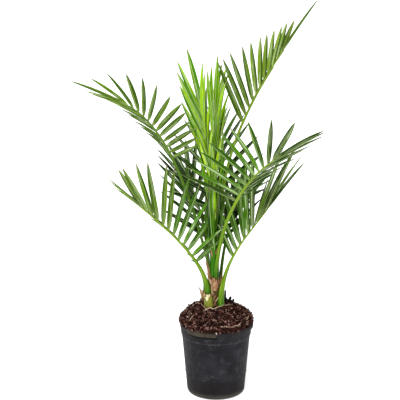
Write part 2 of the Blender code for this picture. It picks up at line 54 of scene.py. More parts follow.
POT_HEIGHT = 0.148
POT_BASE_RADIUS = 0.0590
POT_TOP_RADIUS = 0.0716
POT_OVAL = 0.006
POT_WALL = 0.0013
POT_FLOOR = 0.0016
POT_SIDES = 180
FOOT_ROUND = 0.006
FOOT_STEPS = 5
FOOT_BAND_TOP = 0.042
FOOT_BAND_STEP = 0.0014
PANEL_STEP = 0.0007
PANEL_RINGS = 10
PANEL_DEPTH = 0.0006
PANEL_EDGE = 0.0008
BAND_FOOT = 0.123
LEDGE = 0.0010
LIP_RADIUS = 0.0745
LIP_FOOT = 0.1385
LIP_ROUND = 0.0010
LIP_TUCKED = 0.25
LIP_SQUEEZED = 0.12
LIP_LIFT = 0.0012
NOTCH_TURN = -90.8
RIB_HALF_ANGLE = 2.6
# The ribs stand on the diagonals: at a rib's edge the sizes of x and y differ by this.
RIB_EDGE = 0.0052
DRAIN_HOLES = 8
DRAIN_RADIUS = 0.0045
DRAIN_RING = 0.036
DRAIN_SIDES = 24
POT_BEVEL = 0.0003


class Signal:
    """A socket of a material's nodes that takes part in Python expressions."""

    def __init__(self, finish, socket):
        self.finish = finish
        self.socket = socket

    def __add__(self, other):
        return self.finish.math("ADD", self, other)

    def __radd__(self, other):
        return self.finish.math("ADD", other, self)

    def __sub__(self, other):
        return self.finish.math("SUBTRACT", self, other)

    def __rsub__(self, other):
        return self.finish.math("SUBTRACT", other, self)

    def __mul__(self, other):
        return self.finish.math("MULTIPLY", self, other)

    def __rmul__(self, other):
        return self.finish.math("MULTIPLY", other, self)

    def __truediv__(self, other):
        return self.finish.math("DIVIDE", self, other)

    def __gt__(self, other):
        return self.finish.math("GREATER_THAN", self, other)

    def __abs__(self):
        return self.finish.math("ABSOLUTE", self)


class Finish:
    """One procedural material, and the only way its nodes are made."""

    def __init__(self, name, roughness=0.5, specular=0.3):
        self.material = bpy.data.materials.new(name)
        self.material.use_nodes = True
        self.tree = self.material.node_tree
        self.shader = self.tree.nodes["Principled BSDF"]
        self.body = None
        self.shows("Roughness", roughness)
        self.shows("Specular IOR Level", specular)

    def feed(self, socket, value):
        if isinstance(value, Signal):
            self.tree.links.new(value.socket, socket)
        elif socket.type == "RGBA":
            socket.default_value = (*value, 1.0)
        else:
            socket.default_value = value

    def node(self, kind, settings=None, inputs=None, output=0):
        made = self.tree.nodes.new(kind)
        for key, value in (settings or {}).items():
            if key == "stops":
                ramp = made.color_ramp
                while len(ramp.elements) < len(value):
                    ramp.elements.new(1.0)
                for element, (place, colour) in zip(ramp.elements, value):
                    element.position = place
                    element.color = (*colour, 1.0)
            else:
                setattr(made, key, value)
        for key, value in (inputs or {}).items():
            self.feed(made.inputs[key], value)
        return Signal(self, made.outputs[output])

    def math(self, operation, *values):
        return self.node("ShaderNodeMath", {"operation": operation}, dict(enumerate(values)))

    def place(self):
        return self.node("ShaderNodeTexCoord", output="Object")

    def axis(self, way, vector=None):
        """One coordinate of a vector, or of the place on the piece."""
        return self.node("ShaderNodeSeparateXYZ", {}, {"Vector": vector or self.place()}, way)

    def joined(self, x, y, z=0.0):
        return self.node("ShaderNodeCombineXYZ", {}, {"X": x, "Y": y, "Z": z})

    def noise(self, scale, detail=2.0, rough=0.5, vector=None):
        """Soft noise over the piece, or over a vector; three scales stretch it along the axes."""
        vector = vector or self.place()
        if isinstance(scale, tuple):
            vector = self.node("ShaderNodeMapping", {}, {"Vector": vector, "Scale": scale})
            scale = 1.0
        return self.node("ShaderNodeTexNoise", {},
                         {"Vector": vector, "Scale": scale, "Detail": detail, "Roughness": rough})

    def step(self, value, low, high):
        """0 below low, 1 above high, smooth between; low may be the larger."""
        return self.node("ShaderNodeMapRange", {"interpolation_type": "SMOOTHSTEP"},
                         {"Value": value, "From Min": low, "From Max": high})

    def mix(self, share, first, second):
        return self.node("ShaderNodeMix", {"data_type": "RGBA"}, {0: share, 6: first, 7: second}, 2)

    def ramp(self, value, *stops):
        return self.node("ShaderNodeValToRGB", {"stops": stops}, {"Fac": value})

    def trait(self, name):
        return self.node("ShaderNodeAttribute", {"attribute_name": name}, output="Fac")

    def shows(self, socket, value):
        self.feed(self.shader.inputs[socket], value)

    def coat(self, colour, share=1.0):
        """Lays a colour over the coats so far, by a share that may vary."""
        self.body = self.mix(share, self.body, colour) if self.body else colour
        self.shows("Base Color", self.body)

    def bump(self, height, strength, distance):
        self.shows("Normal", self.node("ShaderNodeBump", {}, {
            "Height": height, "Strength": strength, "Distance": distance}))

    def on(self, piece):
        piece.data.materials.clear()
        piece.data.materials.append(self.material)


def picked(piece):
    """Selects this piece alone and makes it the active one."""
    bpy.ops.object.select_all(action="DESELECT")
    piece.select_set(True)
    bpy.context.view_layer.objects.active = piece


def named(piece, name):
    """Ends edit mode, names the piece, and moves its place into its mesh."""
    bpy.ops.object.mode_set(mode="OBJECT")
    piece.name = name
    piece.data.name = name
    bpy.ops.object.transform_apply(location=True, rotation=True, scale=True)
    return piece


def turned_shell(name, rings, sides):
    """A closed round body pulled out ring by ring from a disc at its first ring."""
    bpy.ops.object.select_all(action="DESELECT")
    radius, height = rings[0]
    bpy.ops.mesh.primitive_circle_add(vertices=sides, radius=radius, fill_type="NGON",
                                      location=(0, 0, height))
    piece = bpy.context.object
    bpy.ops.object.mode_set(mode="EDIT")
    bpy.ops.mesh.select_mode(type="FACE")
    bpy.ops.mesh.select_all(action="SELECT")
    for next_radius, next_height in rings[1:]:
        rise = next_height - height
        bpy.ops.mesh.extrude_region_move(TRANSFORM_OT_translate={"value": (0, 0, rise)})
        share = next_radius / radius
        bpy.ops.transform.resize(value=(share, share, 1), center_override=(0, 0, next_height))
        radius, height = next_radius, next_height
    bpy.ops.mesh.select_all(action="SELECT")
    bpy.ops.mesh.normals_make_consistent(inside=False)
    return named(piece, name)


def inset(piece, wanted, *steps):
    """Insets the faces that wanted picks, at each step by a thickness and a depth."""
    picked(piece)
    for face in piece.data.polygons:
        face.select = wanted(face)
    bpy.ops.object.mode_set(mode="EDIT")
    bpy.ops.mesh.select_mode(type="FACE")
    for thickness, depth in steps:
        bpy.ops.mesh.inset(thickness=thickness, depth=depth)
    bpy.ops.object.mode_set(mode="OBJECT")


def applied(piece, kind, **settings):
    """Adds one modifier to the piece and works it into the mesh."""
    picked(piece)
    modifier = piece.modifiers.new(kind.lower(), kind)
    for key, value in settings.items():
        setattr(modifier, key, value)
    bpy.ops.object.modifier_apply(modifier=modifier.name)


def smoothed(piece, degrees):
    picked(piece)
    bpy.ops.object.shade_smooth_by_angle(angle=math.radians(degrees))


def fade(value, low, high):
    """0 below low, 1 above high, smooth between."""
    share = min(1.0, max(0.0, (value - low) / (high - low)))
    return share * share * (3 - 2 * share)


def around(radius, turn):
    """x and y at a distance from the middle and a turn in radians."""
    return radius * math.cos(turn), radius * math.sin(turn)


def wall_radius(height):
    return POT_BASE_RADIUS + (POT_TOP_RADIUS - POT_BASE_RADIUS) * height / POT_HEIGHT


def lip_proud(turn):
    """How far the lip stands proud at a turn in degrees, as a share of its full depth."""
    if turn < NOTCH_TURN:
        return LIP_TUCKED + (1 - LIP_TUCKED) * fade(turn, -150, -126)
    if turn < 0:
        return LIP_SQUEEZED + (1 - LIP_SQUEEZED) * fade(turn, -52, -16)
    return 1 - (1 - LIP_TUCKED) * fade(turn, 150, 178)


def in_panel(face):
    """Whether an outer face of the pot lies between its ledges and off its ribs."""
    x, y, height = face.center
    turn = math.degrees(math.atan2(y, x)) % 90
    outside = math.hypot(x, y) > wall_radius(height) - PANEL_STEP - 0.0004
    between = FOOT_BAND_TOP < height < BAND_FOOT - LEDGE
    return outside and between and abs(turn - 45) > RIB_HALF_ANGLE


pot_foot = wall_radius(FOOT_ROUND) - FOOT_BAND_STEP
pot_top = wall_radius(POT_HEIGHT) - POT_WALL
pot_rings = [(0.004, 0.0), (0.026, 0.0), (0.046, 0.0)]
for step in range(FOOT_STEPS, -1, -1):
    bend = math.pi / 2 * step / FOOT_STEPS
    pot_rings.append((pot_foot - FOOT_ROUND * (1 - math.cos(bend)),
                      FOOT_ROUND * (1 - math.sin(bend))))
for height in (0.015, 0.024, 0.033, FOOT_BAND_TOP - LEDGE):
    pot_rings.append((wall_radius(height) - FOOT_BAND_STEP, height))
for step in range(PANEL_RINGS + 1):
    height = FOOT_BAND_TOP + (BAND_FOOT - LEDGE - FOOT_BAND_TOP) * step / PANEL_RINGS
    pot_rings.append((wall_radius(height) - PANEL_STEP, height))
for height in (BAND_FOOT, 0.128, 0.133, LIP_FOOT):
    pot_rings.append((wall_radius(height), height))
pot_rings += [(LIP_RADIUS - 0.0006, LIP_FOOT), (LIP_RADIUS - 0.0002, 0.143),
              (LIP_RADIUS, POT_HEIGHT - 1.6 * LIP_ROUND),
              (LIP_RADIUS - 0.3 * LIP_ROUND, POT_HEIGHT - 0.5 * LIP_ROUND),
              (LIP_RADIUS - LIP_ROUND, POT_HEIGHT),
              (pot_top + 0.0004, POT_HEIGHT), (pot_top, POT_HEIGHT - 0.0006),
              (wall_radius(BAND_FOOT) - PANEL_STEP - POT_WALL, BAND_FOOT),
              (wall_radius(FOOT_BAND_TOP) - FOOT_BAND_STEP - POT_WALL, FOOT_BAND_TOP),
              (pot_foot - POT_WALL, FOOT_ROUND),
              (pot_foot - FOOT_ROUND, POT_FLOOR), (0.02, POT_FLOOR), (0.002, POT_FLOOR)]
pot = turned_shell("nursery_pot", pot_rings, POT_SIDES)
for vertex in pot.data.vertices:
    x, y, height = vertex.co
    radius, turn = math.hypot(x, y), math.degrees(math.atan2(y, x))
    wall = wall_radius(height)
    if height > LIP_FOOT - 0.0001 and radius > wall + 0.0001:
        radius = wall + (radius - wall) * lip_proud(turn)
        if height < LIP_FOOT + 0.0001 and turn < NOTCH_TURN:
            height += LIP_LIFT * fade(turn, -150, -96)
    squeeze = 1 + POT_OVAL * fade(height, 0.09, POT_HEIGHT) * math.cos(math.radians(2 * turn))
    vertex.co = (*around(radius * squeeze, math.radians(turn)), height)
inset(pot, in_panel, (PANEL_EDGE, -PANEL_DEPTH))

drills = []
for hole in range(DRAIN_HOLES):
    x, y = around(DRAIN_RING, math.tau * (hole + 0.5) / DRAIN_HOLES)
    bpy.ops.mesh.primitive_cylinder_add(vertices=DRAIN_SIDES, radius=DRAIN_RADIUS,
                                        depth=8 * POT_FLOOR, location=(x, y, 0))
    drills.append(bpy.context.object)
picked(drills[-1])
for drill in drills:
    drill.select_set(True)
bpy.ops.object.join()
applied(pot, "BOOLEAN", operation="DIFFERENCE", object=drills[-1])
bpy.data.objects.remove(drills[-1], do_unlink=True)
applied(pot, "BEVEL", width=POT_BEVEL, segments=2, limit_method="ANGLE",
        angle_limit=math.radians(28))
smoothed(pot, 40)

plastic = Finish("nursery_pot_plastic", 0.5, 0.08)
side, deep, tall = (plastic.axis(way) for way in "XYZ")
drift = plastic.noise(24.0, 5.0, 0.6)
smudge = plastic.noise(70.0, 4.0, 0.65)
speck = plastic.noise(420.0, 2.0, 0.6)
high = plastic.step(tall, 0.118, 0.146)
dust = plastic.step(tall, 0.050, 0.002) * 0.5 + high * 0.45
dust = dust * plastic.step(plastic.noise(46.0, 4.0, 0.65), 0.3, 0.7)
plastic.coat((0.007, 0.007, 0.009))
plastic.coat((0.018, 0.018, 0.023), plastic.step(drift, 0.35, 0.68))
plastic.coat((0.052, 0.053, 0.061), plastic.step(smudge, 0.50, 0.80) * 0.6)
plastic.coat((0.022, 0.019, 0.016), dust)
plastic.coat((0.006, 0.004, 0.004),
             plastic.step(tall, FOOT_BAND_TOP, FOOT_BAND_TOP - 0.003) * 0.65)
ledge_wear = plastic.step(abs(tall - BAND_FOOT), 0.0026, 0.0006)
plastic.coat((0.070, 0.069, 0.073), ledge_wear * (0.10 + plastic.step(smudge, 0.4, 0.65) * 0.3))
to_rib_edge = abs(abs(abs(side) - abs(deep)) - RIB_EDGE)
rib_wear = plastic.step(to_rib_edge, 0.0022, 0.0006) * plastic.step(smudge, 0.36, 0.62) * 0.35
rib_wear = rib_wear * plastic.step(tall, FOOT_BAND_TOP - 0.002, FOOT_BAND_TOP + 0.002)
plastic.coat((0.066, 0.067, 0.074), rib_wear * plastic.step(tall, BAND_FOOT, BAND_FOOT - 0.003))
plastic.coat((0.068, 0.064, 0.052),
             plastic.step(tall, 0.015, 0.003) * (0.35 + plastic.step(drift, 0.25, 0.6) * 0.4))
on_lip = plastic.step(tall, LIP_FOOT - 0.0004, LIP_FOOT + 0.0004)
front_left = plastic.step(side - (tall - LIP_FOOT) * 0.45, -0.0016, -0.0030)
front_left = front_left * plastic.step(side, -0.064, -0.042) * plastic.step(deep, -0.004, -0.020)
lip_dust = front_left * (0.35 + plastic.step(smudge, 0.35, 0.65) * 0.55)
plastic.coat((0.056, 0.045, 0.030),
             on_lip * (lip_dust + plastic.step(smudge, 0.46, 0.62) * 0.3))
# Painted shadow: a near-black band just under the lip on the left side, where the lip's shadow
# falls.
lip_shadow = plastic.step(tall, LIP_FOOT - 0.0044, LIP_FOOT - 0.0030) * (1 - on_lip)
plastic.coat((0.0004, 0.0004, 0.0005), lip_shadow * plastic.step(side, 0.0030, 0.0010) * 0.95)
plastic.coat((0.11, 0.080, 0.058), plastic.step(speck, 0.66, 0.76) * (0.10 + high * 0.40))
plastic.shows("Roughness", 0.48 + drift * 0.2 + dust * 0.25)
plastic.bump(plastic.noise(38.0) * 1.4 + speck * 0.25 + smudge * 0.25, 0.35, 0.0012)
plastic.on(pot)
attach(pot, "root")
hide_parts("pot")


# Potting soil.
# Coarse red-brown peat and bark, filled over the rim and heaped round the stem by hand.
# Crumbs, chips and threads lie on it in every direction, with a few light dead roots.

HEAP_CROWN = 0.033
HEAP_EDGE = 0.0735
HEAP_EDGE_LIFT = 0.005
HEAP_SEAT = 0.028
HEAP_FALL = 0.66
HEAP_SIDES = 200
HEAP_RINGS = 70
HEAP_FIRST_RING = 0.016
# Lumps of the heap's surface: height and how many there are to a metre.
HEAP_LUMPS = ((0.0066, 52), (0.0050, 120), (0.0024, 340))
SOIL_FLOOR = POT_FLOOR + 0.0003
CRUMBS = 8000
RIM_CRUMBS = 900
# Clods against the feet of the leaves, then larger ones spread over the heap: number, middle's x,
# reach, size, flatness, lift as a share of size, and tint.
CLODS = ((170, -0.003, (0.0195, 0.0290), (0.0030, 0.0062), 0.8, 0.4, (0.2, 0.85)),
         (90, 0.0, (0.036, 0.0680), (0.0040, 0.0074), 0.9, 0.3, (0.15, 0.70)))
CHIP_SHAPES = 6
THREADS = 2400
THREAD_SHAPES = 6
STRAND_SIDES = 3
STRAND_STEPS = 5
STRAND_HALF_THICKNESS = 0.022


def heap_height(radius):
    """Height of the smooth heap at a distance from the middle."""
    share = max(0.0, (radius - HEAP_SEAT) / (HEAP_EDGE - HEAP_SEAT))
    fall = HEAP_CROWN - HEAP_EDGE_LIFT
    return POT_HEIGHT + HEAP_EDGE_LIFT + fall * max(0.0, 1 - share) ** HEAP_FALL


def rough_heap(x, y):
    """Height of the crumbly surface over a place in plan."""
    place = Vector((x, y, 0.31))
    radius = math.hypot(x, y)
    relief = sum(height * noise.noise(place * scale) for height, scale in HEAP_LUMPS)
    settle = fade(radius, 0.0, 0.02) * (1 - fade(radius, HEAP_EDGE - 0.004, HEAP_EDGE))
    return heap_height(radius) + relief * (0.35 + 0.65 * settle)


soil_rings = [(radius, heap_height(0.0)) for radius in (0.001, 0.006, 0.012)]
for ring in range(HEAP_RINGS):
    share = math.sin(math.pi / 2 * ring / (HEAP_RINGS - 1))
    radius = HEAP_FIRST_RING + (HEAP_EDGE - HEAP_FIRST_RING) * share
    soil_rings.append((radius, heap_height(radius)))
inner_top = pot_top - 0.0013
soil_rings += [(HEAP_EDGE - 0.001, POT_HEIGHT + 0.0015), (HEAP_EDGE - 0.003, POT_HEIGHT + 0.0003),
               (inner_top, POT_HEIGHT + 0.0003), (inner_top - 0.0005, POT_HEIGHT - 0.012),
               (pot_foot - POT_WALL - 0.0003, FOOT_ROUND + POT_FLOOR),
               (pot_foot - POT_WALL - FOOT_ROUND, SOIL_FLOOR), (0.02, SOIL_FLOOR),
               (0.002, SOIL_FLOOR)]
soil = turned_shell("potting_soil", soil_rings, HEAP_SIDES)
for vertex in soil.data.vertices:
    x, y, height = vertex.co
    if height > POT_HEIGHT + 0.001:
        vertex.co.z += rough_heap(x, y) - heap_height(math.hypot(x, y))
smoothed(soil, 60)


def shape_arrays(piece):
    """Points and triangles of a small modelled shape, which is then taken away."""
    picked(piece)
    bpy.ops.object.mode_set(mode="EDIT")
    bpy.ops.mesh.select_all(action="SELECT")
    bpy.ops.mesh.quads_convert_to_tris()
    bpy.ops.object.mode_set(mode="OBJECT")
    points = np.array([vertex.co[:] for vertex in piece.data.vertices])
    faces = np.array([face.vertices[:] for face in piece.data.polygons])
    bpy.data.objects.remove(piece, do_unlink=True)
    return points, faces


def linked(name, data):
    """An object of some data, put in the scene."""
    made = bpy.data.objects.new(name, data)
    bpy.context.scene.collection.objects.link(made)
    return made


def marked(piece, trait, values, domain="POINT"):
    """Gives each point or face of a piece a value that its finish reads."""
    layer = piece.data.attributes.new(trait, "FLOAT", domain)
    layer.data.foreach_set("value", np.asarray(values, np.float32))


def from_arrays(name, points, faces):
    mesh = bpy.data.meshes.new(name)
    mesh.from_pydata(points.tolist(), [], faces)
    mesh.update()
    return linked(name, mesh)


def carried(points, matrix):
    return points @ np.array(matrix.to_3x3()).T + np.array(matrix.translation)


def strewn(name, shapes, scatter):
    """One mesh of many copies: scatter gives (shape number, matrix, tint) for each copy."""
    all_points, all_faces, tints = [], [], []
    count = 0
    for number, matrix, tint in scatter:
        points, faces = shapes[number]
        all_points.append(carried(points, matrix))
        all_faces.append(faces + count)
        tints.append(np.full(len(points), tint))
        count += len(points)
    piece = from_arrays(name, np.concatenate(all_points), np.concatenate(all_faces).tolist())
    marked(piece, "tint", np.concatenate(tints))
    return piece


def gathered(name, shapes, tints):
    """One mesh of shapes that are in their places already, each with its tint."""
    return strewn(name, shapes, [(number, Matrix.Identity(4), tint)
                                 for number, tint in enumerate(tints)])


def crumb_shape(seed):
    """A rough chip of bark or peat, about 1 long."""
    bpy.ops.object.select_all(action="DESELECT")
    bpy.ops.mesh.primitive_ico_sphere_add(subdivisions=1, radius=0.5)
    piece = bpy.context.object
    rule = random.Random(seed)
    for vertex in piece.data.vertices:
        vertex.co *= rule.uniform(0.6, 1.25)
        vertex.co.z *= 0.55
    return shape_arrays(piece)


def strand_shape(seed, curl=0.9):
    """A thin curled thread, 1 long along X."""
    rings = [(1.0, step / STRAND_STEPS) for step in range(STRAND_STEPS + 1)]
    piece = turned_shell("strand", rings, STRAND_SIDES)
    rule = random.Random(seed)
    side_bend, up_bend = rule.uniform(-curl, curl), rule.uniform(-curl, curl)
    side_wave, up_wave = rule.uniform(-0.1, 0.1) * curl, rule.uniform(-0.1, 0.1) * curl
    for vertex in piece.data.vertices:
        x, y, along = vertex.co
        thin = STRAND_HALF_THICKNESS * (1 - 0.6 * abs(2 * along - 1) ** 2)
        sway = along * (1 - along)
        vertex.co = (along - 0.5, x * thin + side_bend * sway + side_wave * math.sin(9 * along),
                     y * thin + up_bend * sway * 0.5 + up_wave * math.cos(8 * along))
    return shape_arrays(piece)


def turned(angle, axis):
    return Matrix.Rotation(angle, 4, axis)


def laid(rule, place, sizes, tints, tumble=1.0):
    """Shape number, matrix and tint of one crumb; tumble below 1 keeps it nearer to lying down."""
    lie = (turned(rule.uniform(0, math.tau), "Z")
           @ turned(rule.uniform(-1, 1) * math.pi / 2 * tumble, "Y")
           @ turned(rule.uniform(0, math.tau), "X"))
    matrix = Matrix.Translation(place) @ lie @ Matrix.Diagonal((*sizes, 1.0))
    return rule.randrange(CHIP_SHAPES), matrix, rule.uniform(*tints)


rule = random.Random(11)
crumb_shapes = [crumb_shape(seed) for seed in range(CHIP_SHAPES)]
crumb_places = []
for _ in range(CRUMBS):
    radius = (HEAP_EDGE - 0.0005) * math.sqrt(rule.uniform(0.03, 1.0))
    x, y = around(radius, rule.uniform(0, math.tau))
    size = 0.0010 + 0.0044 * rule.random() ** 2.8
    long = size * rule.uniform(0.9, 2.4)
    z = max(rough_heap(x, y) + size * rule.uniform(-0.30, 0.34), POT_HEIGHT + 0.3 * size)
    sizes = (long, size, size * rule.uniform(0.5, 1.0))
    crumb_places.append(laid(rule, (x, y, z), sizes, (0.0, 1.0), 0.7))
for count, middle, reach, size_range, flatness, lift, tints in CLODS:
    for _ in range(count):
        turn = rule.uniform(0, math.tau)
        x, y = around(rule.uniform(*reach), turn)
        x += middle
        size = rule.uniform(*size_range)
        crumb_places.append(laid(rule, (x, y, rough_heap(x, y) + size * lift),
                                 (size * 1.3, size, size * flatness), tints))
for _ in range(RIM_CRUMBS):
    turn = rule.uniform(0, math.tau)
    radius = HEAP_EDGE + rule.uniform(-0.0022, 0.0004)
    size = 0.0010 + 0.0030 * rule.random() ** 2
    z = POT_HEIGHT + rule.uniform(0.0004, 0.0050)
    sizes = (size * rule.uniform(1.0, 2.2), size, size * 0.7)
    crumb_places.append(laid(rule, (*around(radius, turn), z), sizes, (0.1, 1.0)))
crumbs = strewn("soil_crumbs", crumb_shapes, crumb_places)

thread_shapes = [strand_shape(seed + 20) for seed in range(THREAD_SHAPES)]
thread_places = []
for _ in range(THREADS):
    radius = (HEAP_EDGE - 0.001) * math.sqrt(rule.uniform(0.05, 1.0))
    turn = rule.uniform(0, math.tau)
    x, y = around(radius, turn)
    long = rule.uniform(0.004, 0.013)
    thick = long * rule.uniform(0.6, 1.5)
    z = max(rough_heap(x, y) + rule.uniform(0.0, 0.0022), POT_HEIGHT + 0.001)
    slope = math.atan2(heap_height(radius) - heap_height(radius + 0.002), 0.002)
    lie = (turned(turn, "Z") @ turned(slope, "Y") @ turned(rule.uniform(0, math.tau), "Z")
           @ turned(rule.uniform(-0.8, 0.8), "Y") @ turned(rule.uniform(0, math.tau), "X"))
    matrix = Matrix.Translation((x, y, z)) @ lie @ Matrix.Diagonal((long, thick, thick, 1.0))
    thread_places.append((rule.randrange(THREAD_SHAPES), matrix, rule.random()))
threads = strewn("soil_threads", thread_shapes, thread_places)

# Dead roots: start, end, half thickness, arch over the heap and bow to the front.
ROOTS = (
    ((-0.0250, -0.0285), (0.0345, -0.0030), 0.0009, 0.0060, 0.0150),
    ((-0.042, 0.026), (-0.015, -0.038), 0.0007, 0.003, 0.002),
    ((-0.054, -0.041), (-0.043, -0.030), 0.0007, 0.001, 0.001),
    ((-0.042, -0.057), (-0.036, -0.062), 0.0006, 0.001, 0.001),
    ((0.010, -0.069), (0.034, -0.062), 0.0007, 0.001, 0.001),
    ((0.034, -0.062), (0.048, -0.052), 0.0007, 0.001, 0.001),
    ((0.064, -0.014), (0.058, -0.040), 0.0007, 0.001, 0.001),
    ((-0.014, -0.032), (-0.010, -0.047), 0.0006, 0.001, 0.001),
    ((0.005, 0.060), (-0.035, 0.048), 0.0008, 0.002, 0.001),
    ((0.030, 0.055), (0.052, 0.030), 0.0007, 0.002, 0.001),
    ((-0.064, 0.012), (-0.048, 0.046), 0.0007, 0.002, 0.001),
)
ROOT_SWAY = 0.0007
ROOT_THINNING = 0.65
ROOT_STEPS = 14
ROOT_SIDES = 6
UP = Vector((0, 0, 1))


def wrapped_faces(rings, sides):
    """Triangles round a row of rings of corners, and a fan over each end."""
    faces = []
    last = (rings - 1) * sides
    for low in range(0, last, sides):
        for corner in range(sides):
            a, b = low + corner, low + (corner + 1) % sides
            faces += [(a, b, b + sides), (a, b + sides, a + sides)]
    for corner in range(1, sides - 1):
        faces += [(0, corner + 1, corner), (last, last + corner, last + corner + 1)]
    return np.array(faces)


def tube_arrays(points, radii, sides):
    """A closed thin tube along a line of points; its corners run clockwise seen from its end."""
    rings = []
    for index, (point, radius) in enumerate(zip(points, radii)):
        ahead = points[min(index + 1, len(points) - 1)] - points[max(index - 1, 0)]
        ahead.normalize()
        across = ahead.cross(UP).normalized()
        up = across.cross(ahead)
        for corner in range(sides):
            turn = math.tau * corner / sides
            rings.append((point + (across * math.cos(turn) + up * math.sin(turn)) * radius)[:])
    return np.array(rings), wrapped_faces(len(points), sides)[:, ::-1]


root_shapes = []
for number, (start, end, thick, arch, bow) in enumerate(ROOTS):
    path, radii = [], []
    for step in range(ROOT_STEPS + 1):
        share = step / ROOT_STEPS
        sway = ROOT_SWAY * math.sin(5 * share + number)
        x = start[0] + (end[0] - start[0]) * share + sway
        y = start[1] + (end[1] - start[1]) * share - sway - bow * math.sin(math.pi * share)
        level = max(heap_height(math.hypot(x, y)), rough_heap(x, y))
        path.append(Vector((x, y, level + 2 * thick + arch * math.sin(math.pi * share) ** 0.5)))
        radii.append(thick * (1 - ROOT_THINNING * share))
    root_shapes.append(tube_arrays(path, radii, ROOT_SIDES))
roots = gathered("light_roots", root_shapes, [rule.uniform(0.2, 0.9) for _ in ROOTS])
roots.data.shade_smooth()

peat = Finish("peat", 0.92, 0.03)
grain = peat.noise(260.0, 4.0, 0.7)
peat.coat(peat.ramp(grain, (0.3, (0.002, 0.001, 0.001)), (0.7, (0.030, 0.010, 0.007))))
peat.coat(peat.ramp(grain, (0.3, (0.004, 0.002, 0.002)), (0.7, (0.048, 0.018, 0.015))),
          peat.step(peat.noise(60.0, 3.0, 0.6), 0.35, 0.7))
peat.bump(grain, 0.8, 0.001)
peat.on(soil)

chips = Finish("peat_crumbs", 0.85, 0.04)
grain = chips.noise(700.0, 3.0, 0.6)
chips.coat(chips.ramp(chips.trait("tint"), (0.0, (0.001, 0.0005, 0.0005)),
                      (0.42, (0.014, 0.003, 0.002)), (0.66, (0.090, 0.029, 0.021)),
                      (0.85, (0.200, 0.088, 0.073)), (0.95, (0.40, 0.25, 0.21)),
                      (1.0, (0.72, 0.54, 0.47))))
chips.coat((0.005, 0.002, 0.002), chips.step(grain, 0.62, 0.35) * 0.6)
chips.bump(grain, 0.5, 0.0005)
chips.on(crumbs)

fluff = Finish("peat_threads", 0.8, 0.04)
fluff.coat(fluff.ramp(fluff.trait("tint"), (0.0, (0.004, 0.002, 0.002)),
                      (0.45, (0.050, 0.015, 0.009)), (0.75, (0.14, 0.055, 0.036)),
                      (0.9, (0.34, 0.19, 0.13)), (1.0, (0.62, 0.44, 0.34))))
fluff.bump(fluff.noise(900.0), 0.4, 0.0003)
fluff.on(threads)

dead_root = Finish("dead_roots", 0.7)
worn = dead_root.noise(240.0, 3.0, 0.6)
dead_root.coat((0.46, 0.30, 0.19))
dead_root.coat((0.80, 0.62, 0.44), dead_root.step(worn, 0.3, 0.7))
dead_root.bump(worn, 0.5, 0.0005)
dead_root.on(roots)
for piece in (soil, crumbs, threads, roots):
    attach(piece, "root")
    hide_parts("soil")


# Stem.
# The short swollen foot of the palm, of tough fibrous tissue under the rims of old leaf bases.
# It grows in one with the fronds and stands in the heap of soil.

STEM_X = -0.003
STEM_HEIGHT = 0.058
STEM_FOOT_RADIUS = 0.0118
STEM_TOP_RADIUS = 0.0080
STEM_FLARE = 0.0010
STEM_FOOT = POT_HEIGHT + HEAP_CROWN + 0.0003
STEM_SIDES = 96
STEM_RINGS = 64
SCALE_ROWS = 5
SCALES_ROUND = 5
SCALE_RIM = 0.0013
BARK_RIDGE = 0.0005
BARK_SINK = 0.0008


def stem_radius(height):
    """The stem's radius at a height above its foot."""
    share = height / STEM_HEIGHT
    taper = STEM_FOOT_RADIUS + (STEM_TOP_RADIUS - STEM_FOOT_RADIUS) * share ** 1.6
    return taper + STEM_FLARE * (1 - share) ** 4


stem_rings = [(0.003, STEM_FOOT - 0.003)]
for ring in range(STEM_RINGS + 1):
    height = STEM_HEIGHT * ring / STEM_RINGS
    stem_rings.append((stem_radius(height), STEM_FOOT + height))
stem_rings.append((0.003, STEM_FOOT + STEM_HEIGHT))
stem = turned_shell("stem_foot", stem_rings, STEM_SIDES)
for vertex in stem.data.vertices:
    x, y, height = vertex.co
    share = (height - STEM_FOOT) / STEM_HEIGHT
    radius, turn = math.hypot(x, y), math.atan2(y, x)
    if radius > 0.004 and share > 0:
        row = share * SCALE_ROWS + 0.22 * SCALES_ROUND * turn / math.tau * 2
        part = (turn / math.tau * SCALES_ROUND + 0.5 * math.floor(row)) % 1
        scale = (row % 1) * (1 - abs(2 * part - 1) ** 2)
        ridge = noise.noise(Vector((*around(3, turn), share * 1.2)) * 5.5)
        growth = SCALE_RIM * scale + BARK_RIDGE * ridge - BARK_SINK
        radius += growth * fade(share, 0.0, 0.06) * (1 - 0.5 * fade(share, 0.85, 1.0))
    x, y = around(radius, turn)
    vertex.co = (STEM_X + x, y, height)
smoothed(stem, 50)

fibrous = Finish("stem_bark", 0.82, 0.06)
long_grain = fibrous.noise((900.0, 900.0, 60.0), 4.0, 0.65)
broad = fibrous.noise((160.0, 160.0, 60.0), 3.0, 0.6)
fibrous.coat(fibrous.ramp(long_grain, (0.28, (0.018, 0.005, 0.003)), (0.5, (0.095, 0.036, 0.014)),
                          (0.74, (0.30, 0.17, 0.075))))
fibrous.coat(fibrous.ramp(long_grain, (0.28, (0.030, 0.022, 0.005)), (0.6, (0.15, 0.13, 0.02)),
                          (0.8, (0.32, 0.28, 0.09))), fibrous.step(broad, 0.42, 0.62))
fibrous.bump(long_grain + broad * 0.6, 0.7, 0.0008)
fibrous.on(stem)
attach(stem, "root")
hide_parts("stem")


# Cut leaf base.
# The stump of a pruned frond: a flat oval of firm green tissue that stands against the stem.
# Its top is cut aslant and has dried to a cream face with brown fibres.

STUB_TURN = -128
STUB_HEIGHT = 0.026
STUB_HALF_WIDTH = 0.0110
STUB_HALF_DEPTH = 0.0062
STUB_SLOPE = -0.55
STUB_TAPER = 0.80
STUB_LEAN = 0.001
STUB_SIDES = 56
STUB_RINGS = 18
STUB_FLUTING = 0.035
CUT_INSET = 0.0009
WEDGE_DEPTH = 0.013

